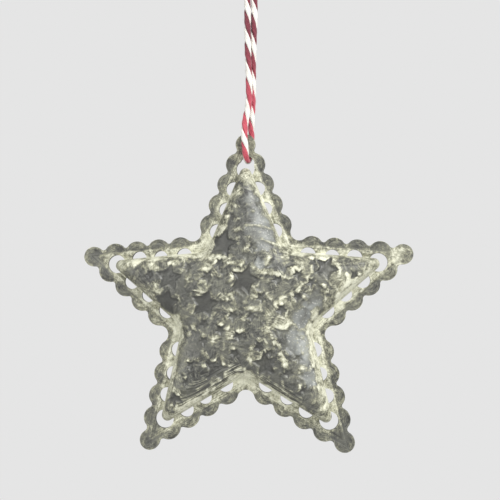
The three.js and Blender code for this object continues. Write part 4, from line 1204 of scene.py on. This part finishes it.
def brush_grain(blank, lobe, drawn):
    """Where the brush marks are looked up: they go round the star, round each scallop, or each facet's way"""
    turn = np.arctan2(blank.z, blank.x)
    across = np.where(blank.flat, -blank.past_foot, blank.inside_foot)
    grain = np.stack([STREAK_RADIUS * np.cos(turn), STREAK_RADIUS * np.sin(turn), across], 1)

    centres = np.array([scallop_centre(i) for i in range(SCALLOPS_PER_SIDE)])
    reaches = np.hypot(blank.u[:, None] - centres[:, 0], blank.v[:, None] - centres[:, 1])
    shorter, finer = LOBE_STREAKS
    along = shorter * blank.within * TIP_RADIUS
    round_lobe = np.stack([along, reaches.argmin(1) * LOBE_SHIFT, finer * reaches.min(1)], 1)
    grain = np.where((lobe > 0.5)[:, None], round_lobe, grain)

    own_way = FACET_TURN * blank.level
    along = blank.x * np.cos(own_way) + blank.z * np.sin(own_way)
    beside = blank.z * np.cos(own_way) - blank.x * np.sin(own_way)
    level = np.full(len(along), FACET_STREAKS * TIP_RADIUS)
    in_facets = np.stack([FACET_STREAKS * along, level, FACET_SPACING * beside], 1)
    edge_streaks = EDGE_STREAKS * (eased(blank.z, *LOWER_ARMS) + 2 * drawn)
    broken_up = blank.inside_foot > blank.wall_width + edge_streaks
    return np.where(broken_up[:, None], in_facets, grain)


def sharpen_rims(mesh, first_wall):
    """The edges between the sheet's faces and its cut edge stay sharp"""
    sharp = np.zeros(len(mesh.edges), bool)
    lookup = {tuple(sorted(e.vertices)): e.index for e in mesh.edges}
    for polygon in mesh.polygons[first_wall:]:
        a, b, c, d = polygon.vertices
        for one, other in ((a, b), (b, c), (c, d), (d, a)):
            if abs(one - other) != len(mesh.vertices) // 2:
                sharp[lookup[tuple(sorted((one, other)))]] = True
    mesh.attributes.new("sharp_edge", "BOOLEAN", "EDGE").data.foreach_set("value", sharp)


def slab(name, blank, finish, attributes):
    """The blank before it is pressed: its outer face, its inner one and the walls between"""
    count = len(blank.x)
    rim = rim_loops(blank.triangles)
    walls = np.stack([rim[:, 0], rim[:, 0] + count, rim[:, 1] + count, rim[:, 1]], 1)
    places = np.zeros((2 * count, 3))
    places[:, 0] = np.tile(blank.x, 2)
    places[:, 2] = np.tile(blank.z, 2)
    inner = blank.triangles[:, ::-1] + count
    faces = [*blank.triangles.tolist(), *inner.tolist(), *walls[:, ::-1].tolist()]
    made = mesh_object(name, places * MM, faces, finish, attributes)
    sharpen_rims(made.data, 2 * len(blank.triangles))
    return made


def stamping(name, side, press, finish, seed):
    """One half of the star, in place. side is 1 for the front and -1 for the back, which is turned round."""
    blank = Blank(side, seed)
    face = Face(blank)
    rim_relief, band, crease, lobe = flat_rim(blank)
    rub, tone = rub_and_tone(blank, face, band, crease)
    drawn = patches(*blank.strayed, DRAWN_PATCHES)
    outer = np.repeat([1.0, 0.0], len(blank.x))
    attributes = {
        "inside_foot": np.tile(blank.inside_foot, 2) * MM,
        "relief": np.tile(face.relief + rim_relief, 2) * MM,
        "outer": outer,
        "rub": np.tile(rub, 2) + INNER_RUB * (1 - outer),
        "tone": np.tile(tone, 2),
        "grain": np.tile(brush_grain(blank, lobe, drawn), (2, 1)),
        "face": np.tile(eased(blank.inside_foot, *FACE_BRUSHED), 2),
        "drawn": np.tile(drawn * blank.on_face, 2),
    }
    made = slab(name, blank, finish, attributes)
    values = {
        "Dome Height": DOME_HEIGHT * MM,
        "Dome Softness": DOME_SOFTNESS * MM,
        "Foot Distance": foot_distance * MM,
        "Sheet": SHEET * MM,
        "Seam Gap": SEAM_GAP * MM,
        "Finish": finish,
    }
    apply_tree(made, press, values)
    facing = Matrix.Rotation(0 if side > 0 else math.pi, 4, "Z")
    made.data.transform(Matrix.Translation((0, 0, -STAR_DROP * MM)) @ facing)
    return made


def bead(name, centre, arm, finish):
    """A tack drawn in at its waist, a little ragged"""
    vertices = [(centre.x, centre.y - SEAM_GAP / 2 * MM, centre.z)]
    for share, level in TACK_PROFILE:
        for i in range(TACK_SIDES):
            angle = 2 * math.pi * i / TACK_SIDES
            ragged = 1 - TACK_RAGGED * (1 + math.sin(3 * angle + arm)) * (1 - abs(level))
            reach = TACK_RADIUS * share * ragged * MM
            y = centre.y + level * SEAM_GAP / 2 * MM
            vertices.append((centre.x + reach * math.cos(angle), y, centre.z + reach * math.sin(angle)))
    vertices.append((centre.x, centre.y + SEAM_GAP / 2 * MM, centre.z))
    last = 1 + (len(TACK_PROFILE) - 1) * TACK_SIDES
    faces = []
    for i in range(TACK_SIDES):
        after = (i + 1) % TACK_SIDES
        faces.append((0, 1 + i, 1 + after))
        for a in range(1, last, TACK_SIDES):
            b = a + TACK_SIDES
            faces.append((a + i, b + i, b + after, a + after))
        faces.append((last + after, last + i, len(vertices) - 1))
    return mesh_object(name, vertices, faces, finish)


def solder_spots(finish):
    """A tack between the two rims at each tip"""
    for arm in range(ARMS):
        node = f"solder_spot_{arm + 1}"
        low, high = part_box(node)
        spot = bead(f"solder_bead_{arm + 1}", (low + high) / 2, arm, finish)
        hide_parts(node)
        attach(spot, "star")


# Twine

def smooth_route(points):
    """A Catmull-Rom curve through the points, as points RING_STEP apart"""
    points = np.array(points, float)
    ends = [2 * points[0] - points[1], *points, 2 * points[-1] - points[-2]]
    dense = []
    for p0, p1, p2, p3 in zip(ends, ends[1:], ends[2:], ends[3:]):
        for t in np.linspace(0, 1, ROUTE_STEPS, endpoint=False):
            a = 2 * p1 + (p2 - p0) * t
            b = (2 * p0 - 5 * p1 + 4 * p2 - p3) * t**2
            dense.append((a + b + (3 * p1 - p0 - 3 * p2 + p3) * t**3) / 2)
    dense = np.array([*dense, points[-1]])
    lengths = np.concatenate([[0], np.cumsum(np.linalg.norm(np.diff(dense, axis=0), axis=1))])
    count = round(lengths[-1] / RING_STEP)
    at = np.linspace(0, lengths[-1], count + 1)
    return np.stack([np.interp(at, lengths, dense[:, i]) for i in range(3)], 1), at


def carried_frames(route):
    """Two directions across the route at each point, carried along it without twist"""
    tangents = np.gradient(route, axis=0)
    tangents /= np.linalg.norm(tangents, axis=1)[:, None]
    first = np.cross(tangents[0], (1.0, 0.0, 0.0))
    first /= np.linalg.norm(first)
    frames = []
    for tangent in tangents:
        first = first - tangent * (first @ tangent)
        first /= np.linalg.norm(first)
        frames.append((first, np.cross(tangent, first)))
    return np.array([f[0] for f in frames]), np.array([f[1] for f in frames])


def index_at(route, height, start, end=None):
    """Which point of the route, from start to end, is nearest to a height"""
    return start + int(np.argmin(np.abs(route[start:end, 2] - height)))


def lay_angles(route, at, first, second):
    """Where the red ply is at each point, so that it faces the camera at the chosen heights"""
    towards_camera = np.array([0.0, -1.0, 0.0])
    bottom = int(np.argmin(route[:, 2]))
    marks = [index_at(route, height, 0, bottom) for height in RED_FRONT_LEFT]
    marks += [index_at(route, height, bottom) for height in RED_FRONT_RIGHT]
    angles = []
    for i, mark in enumerate(marks):
        angle = math.atan2(towards_camera @ second[mark], towards_camera @ first[mark])
        if i:
            turns = BIGHT_TURNS if i == len(RED_FRONT_LEFT) else 1
            wanted = angles[-1] - turns * 2 * math.pi
            angle += 2 * math.pi * round((wanted - angle) / (2 * math.pi))
        angles.append(angle)
    places = [at[mark] for mark in marks]
    before = (places[0] - at[0]) / LAY * 2 * math.pi
    after = (at[-1] - places[-1]) / LAY * 2 * math.pi
    places = [at[0], *places, at[-1]]
    angles = [angles[0] + before, *angles, angles[-1] - after]
    return np.interp(at, places, angles)


def ply_reach(angle):
    """Reach of the plies' joint outline at an angle from the red one's middle, as a share of the radius"""
    side = np.abs(np.cos(angle))
    up = np.abs(np.sin(angle))
    a, b, c = PLY_HALF_WIDTH, PLY_HALF_HEIGHT, PLY_OFFSET
    square = (side / a) ** 2 + (up / b) ** 2
    half = c * side / a**2
    return (half + np.sqrt(np.maximum(half**2 - square * (c * c / a**2 - 1), 0))) / square


def tube_faces(rings):
    """Faces of a tube of rings, with a fan at each end round one of the two points that follow the rings"""
    last = (rings - 1) * SECTION_SIDES
    end = rings * SECTION_SIDES
    after = [(j + 1) % SECTION_SIDES for j in range(SECTION_SIDES)]
    faces = []
    for a in range(0, last, SECTION_SIDES):
        b = a + SECTION_SIDES
        faces += [(a + j, a + k, b + k, b + j) for j, k in enumerate(after)]
    for j, k in enumerate(after):
        faces += [(end, k, j), (end + 1, last + j, last + k)]
    return faces


def twine_piece(name, route, at, first, second, lay, finish, radius=TWINE_DIAMETER / 2 * SPREAD):
    """Two plies laid round each other along the route, closed at both ends"""
    around = np.arange(SECTION_SIDES) * 2 * math.pi / SECTION_SIDES
    across, up = np.cos(around)[:, None], np.sin(around)[:, None]
    rings, plies, laid = [], [], []
    lowest = min(point[2] for point in BIGHT)
    for i, centre in enumerate(route):
        from_red = around - lay[i]
        drawn_in = 1 - SQUEEZE * eased(centre[2], lowest + SQUEEZE_REACH, lowest)
        reach = radius * drawn_in * ply_reach(from_red)
        rings.append(centre + reach[:, None] * (across * first[i] + up * second[i]))
        plies.append(np.cos(from_red))
        laid.append(np.stack([np.cos(from_red), np.sin(from_red), np.full(SECTION_SIDES, at[i])], 1))
    points = np.concatenate([*rings, [route[0], route[-1]]])
    attributes = {
        "ply": np.append(np.concatenate(plies), [0, 0]),
        "lay_place": np.concatenate([*laid, [(0, 0, at[0]), (0, 0, at[-1])]]),
        # painted shade: 0 where the red is darkest, at the top, and 1 where it is lightest, near the star
        "light_falloff": eased(points[:, 2], RED_SHADE_TOP, RED_LIT_BOTTOM),
    }
    made = mesh_object(name, points * MM, tube_faces(len(route)), finish, attributes)
    cap_edges = []
    for edge in made.data.edges:
        touched = {vertex // SECTION_SIDES for vertex in edge.vertices}
        cap_edges.append(touched in ({0}, {len(route) - 1}))
    made.data.attributes.new("sharp_edge", "BOOLEAN", "EDGE").data.foreach_set("value", cap_edges)
    return made


def knot_wraps(finish):
    """The turns of twine drawn tight round the pair above the eye"""
    points = []
    for i in range(WRAP_STEPS + 1):
        share = i / WRAP_STEPS
        angle = math.radians(WRAP_START) + 2 * math.pi * WRAP_TURNS * share
        reach = WRAP_INNER_REACH + WRAP_BULGE * eased(WRAP_TUCK * min(share, 1 - share), 0, 1)
        points.append((reach * math.cos(angle), reach * math.sin(angle), WRAP_FOOT + WRAP_RISE * share))
    route, at = smooth_route(points)
    first, second = carried_frames(route)
    lay = -at / LAY * 2 * math.pi
    return twine_piece("twine_knot_wraps", route, at, first, second, lay, finish, WRAP_TWINE_RADIUS)


def fibre_tree():
    """Loose fibres that stand on a surface, each a bent hair"""
    sizes = {
        "Count per Area": "NodeSocketFloat",
        "Length": "NodeSocketFloat",
        "Radius": "NodeSocketFloat",
        "Lean": "NodeSocketFloat",
        "Seed": "NodeSocketInt",
    }
    group, t, given = new_tree("loose_fibres", sizes)
    spread = t.add("GeometryNodeDistributePointsOnFaces", {
        "Mesh": given["Geometry"], "Density": given["Count per Area"], "Seed": given["Seed"],
    })
    half = t.times(given["Length"], 0.5)
    bow = t.times(given["Length"], FIBRE_BOW)
    middle = t.add("ShaderNodeCombineXYZ", {0: bow, 2: half}).outputs[0]
    tip = t.add("ShaderNodeCombineXYZ", {1: bow, 2: given["Length"]}).outputs[0]
    bend = {"Resolution": FIBRE_STEPS, "Start": (0, 0, 0), "Middle": middle, "End": tip}
    hair = t.add("GeometryNodeCurveQuadraticBezier", bend).outputs[0]
    round_section = {"Resolution": FIBRE_SECTION, "Radius": given["Radius"]}
    section = t.add("GeometryNodeCurvePrimitiveCircle", round_section).outputs[0]
    tube = {"Curve": hair, "Profile Curve": section, "Fill Caps": True}
    fibre = t.add("GeometryNodeCurveToMesh", tube).outputs[0]

    def random(kind, low, high, added):
        seed = t.total(given["Seed"], added)
        node = t.add("FunctionNodeRandomValue", data_type=kind)
        sockets = [s for s in node.inputs if s.enabled]
        for socket, value in zip(sockets, (low, high)):
            t.feed(socket, value)
        t.feed(node.inputs["Seed"], seed)
        return next(s for s in node.outputs if s.enabled)

    lean_back = t.times(given["Lean"], -1.0)
    low = t.add("ShaderNodeCombineXYZ", {0: lean_back, 1: lean_back}).outputs[0]
    high = t.add("ShaderNodeCombineXYZ", {0: given["Lean"], 1: given["Lean"], 2: 2 * math.pi}).outputs[0]
    twist = random("FLOAT_VECTOR", low, high, FIBRE_TURN_SEED)
    turns = {"Rotation": spread.outputs["Rotation"], "Rotate By": twist}
    turn = t.add("FunctionNodeRotateRotation", turns, rotation_space="LOCAL").outputs[0]
    size = random("FLOAT", FIBRE_SHORTEST, 1.0, FIBRE_LENGTH_SEED)
    placed = t.add("GeometryNodeInstanceOnPoints", {
        "Points": spread.outputs["Points"], "Instance": fibre, "Rotation": turn, "Scale": size,
    }).outputs[0]
    end_tree(t, placed, given["Finish"])
    return group


def fibres(name, surface, tree, finish, count_per_mm2, length, lean, seed):
    """Loose fibres alone, grown on a copy of a surface"""
    made = bpy.data.objects.new(name, surface.data.copy())
    bpy.context.scene.collection.objects.link(made)
    values = {
        "Count per Area": count_per_mm2 / MM**2,
        "Length": length * MM,
        "Radius": FIBRE_RADIUS * MM,
        "Lean": lean,
        "Seed": seed,
        "Finish": finish,
    }
    return apply_tree(made, tree, values)


def end_disc(name, centre, direction, finish, ply):
    """A small disc across a cut end, for its frayed fibres to stand on"""
    direction = Vector(direction).normalized()
    across = direction.orthogonal().normalized()
    other = direction.cross(across)
    sides = FRAY_BASE_SIDES
    rim = []
    for i in range(sides):
        angle = 2 * math.pi * i / sides
        outward = across * math.cos(angle) + other * math.sin(angle)
        rim.append(Vector(centre) + outward * FRAY_BASE_RADIUS)
    places = np.array([tuple(p) for p in rim])
    # the frayed fibres take the darkest red of the painted shade
    attributes = {"ply": np.full(sides, ply), "light_falloff": np.zeros(sides), "lay_place": places}
    return mesh_object(name, [p * MM for p in rim], [tuple(range(sides))], finish, attributes)


def twine(finish):
    """The whole twine: two ends that run from the knot to the cut, and the bight below it"""
    whole = [
        *TAIL_LEFT[::-1], *KNOT_CORE_LEFT, *EYE_LEFT, *PAIR_LEFT[1:], *BIGHT[1:-1],
        *PAIR_RIGHT[:0:-1], *EYE_RIGHT[::-1], *KNOT_CORE_RIGHT, *TAIL_RIGHT,
    ]
    route, at = smooth_route(whole)
    first, second = carried_frames(route)
    lay = lay_angles(route, at, first, second)
    bottom = int(np.argmin(route[:, 2]))
    cut_left = index_at(route, CUT_HEIGHT, 0, bottom)
    cut_right = index_at(route, CUT_HEIGHT, bottom)

    def stretch(name, start, end):
        part = slice(start, end + 1)
        return twine_piece(name, route[part], at[part], first[part], second[part], lay[part], finish)

    left = stretch("twine_end_left", 0, cut_left)
    bight = stretch("twine_bight_laid", cut_left, cut_right)
    right = stretch("twine_end_right", cut_right, len(route) - 1)
    wraps = knot_wraps(finish)

    tree = fibre_tree()
    fuzz_left = fibres("twine_fuzz_left", left, tree, finish, *FUZZ, 1)
    fuzz_bight = fibres("twine_fuzz_bight", bight, tree, finish, *FUZZ, 2)
    fuzz_right = fibres("twine_fuzz_right", right, tree, finish, *FUZZ, 3)
    frays = []
    for centre, inner in ((route[0], route[3]), (route[-1], route[-4])):
        for ply in (1.0, -1.0):
            disc = end_disc("fray_base", centre, centre - inner, finish, ply)
            number = len(frays) + 1
            frays.append(fibres(f"twine_fray_{number}", disc, tree, finish, *FRAY, FRAY_SEED + number))
            bpy.data.objects.remove(disc)

    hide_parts("twine_eye_left", "twine_tail_left", "twine_left")
    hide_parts("twine_eye_right", "twine_tail_right", "twine_right")
    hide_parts("twine_bight")
    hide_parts("twine_knot")
    for piece in (left, right, fuzz_left, fuzz_right):
        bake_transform(piece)
    for piece in (bight, fuzz_bight):
        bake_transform(piece)
    for piece in (wraps, *frays):
        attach(piece, "loop")


# Camera, lights and surroundings

def make_camera():
    turn = (
        Matrix.Rotation(-math.radians(CAMERA_ROLL), 3, "Y")
        @ Matrix.Rotation(-math.radians(CAMERA_TILT), 3, "X")
        @ Matrix.Rotation(-math.radians(CAMERA_YAW), 3, "Z")
    )
    right, forward, up = turn
    axes = Matrix((right, up, -forward)).transposed()
    data = bpy.data.cameras.new("camera")
    data.lens = LENS
    data.sensor_width = SENSOR
    data.clip_start = CLIP_START
    camera = bpy.data.objects.new("camera", data)
    camera.matrix_world = Matrix.Translation(CAMERA_PLACE) @ axes.to_4x4()
    bpy.context.scene.collection.objects.link(camera)
    bpy.context.scene.camera = camera


def area_light(name, place, target, size, power):
    data = bpy.data.lights.new(name, "AREA")
    data.shape = "DISK"
    data.size = size
    data.energy = power
    light = bpy.data.objects.new(name, data)
    direction = Vector(target) - Vector(place)
    light.matrix_world = Matrix.Translation(place) @ direction.to_track_quat("-Z", "Y").to_matrix().to_4x4()
    bpy.context.scene.collection.objects.link(light)


def make_world():
    """Pale grey where the camera sees it, and a soft sky that is brighter above and to the right"""
    world = bpy.data.worlds.new("soft_studio")
    world.use_nodes = True
    bpy.context.scene.world = world
    t = Tree(world.node_tree)
    background = world.node_tree.nodes["Background"]
    direction = t.add("ShaderNodeSeparateXYZ", {0: t.add("ShaderNodeTexCoord").outputs["Generated"]}).outputs
    upward = t.between(direction[2], *SKY_UPWARD)
    rightward = t.between(direction[0], *SKY_RIGHTWARD)
    sky = t.mix(t.total(t.times(upward, 0.5), t.times(rightward, 0.5)), SKY_DARK, SKY_BRIGHT)
    seen = t.add("ShaderNodeLightPath").outputs["Is Camera Ray"]
    grey = (BACKDROP_GREY, BACKDROP_GREY, BACKDROP_GREY, 1)
    t.feed(background.inputs["Color"], t.mix(seen, sky, grey))


def make_floor():
    """A plain round floor below the ornament"""
    angles = [2 * math.pi * i / FLOOR_SIDES for i in range(FLOOR_SIDES)]
    rim = [(FLOOR_RADIUS * math.cos(a), FLOOR_RADIUS * math.sin(a), FLOOR_LEVEL) for a in angles]
    floor = mesh_object("floor", rim, [tuple(range(FLOOR_SIDES))], floor_material())


make_camera()
twine(twine_material())

sheet_finish = aged_sheet_material()
press = press_tree()
for node, side, seed in (("front_shell", 1, 0.0), ("back_shell", -1, BACK_SEED)):
    shell = stamping(node.replace("shell", "stamping"), side, press, sheet_finish, seed)
    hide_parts(node)
    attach(shell, "star")
solder_spots(solder_material())

make_world()
make_floor()
for name, place, size, power in LIGHTS:
    area_light(name, place, (0, 0, -STAR_DROP * MM), size, power)
bpy.context.scene.view_settings.view_transform = "Standard"
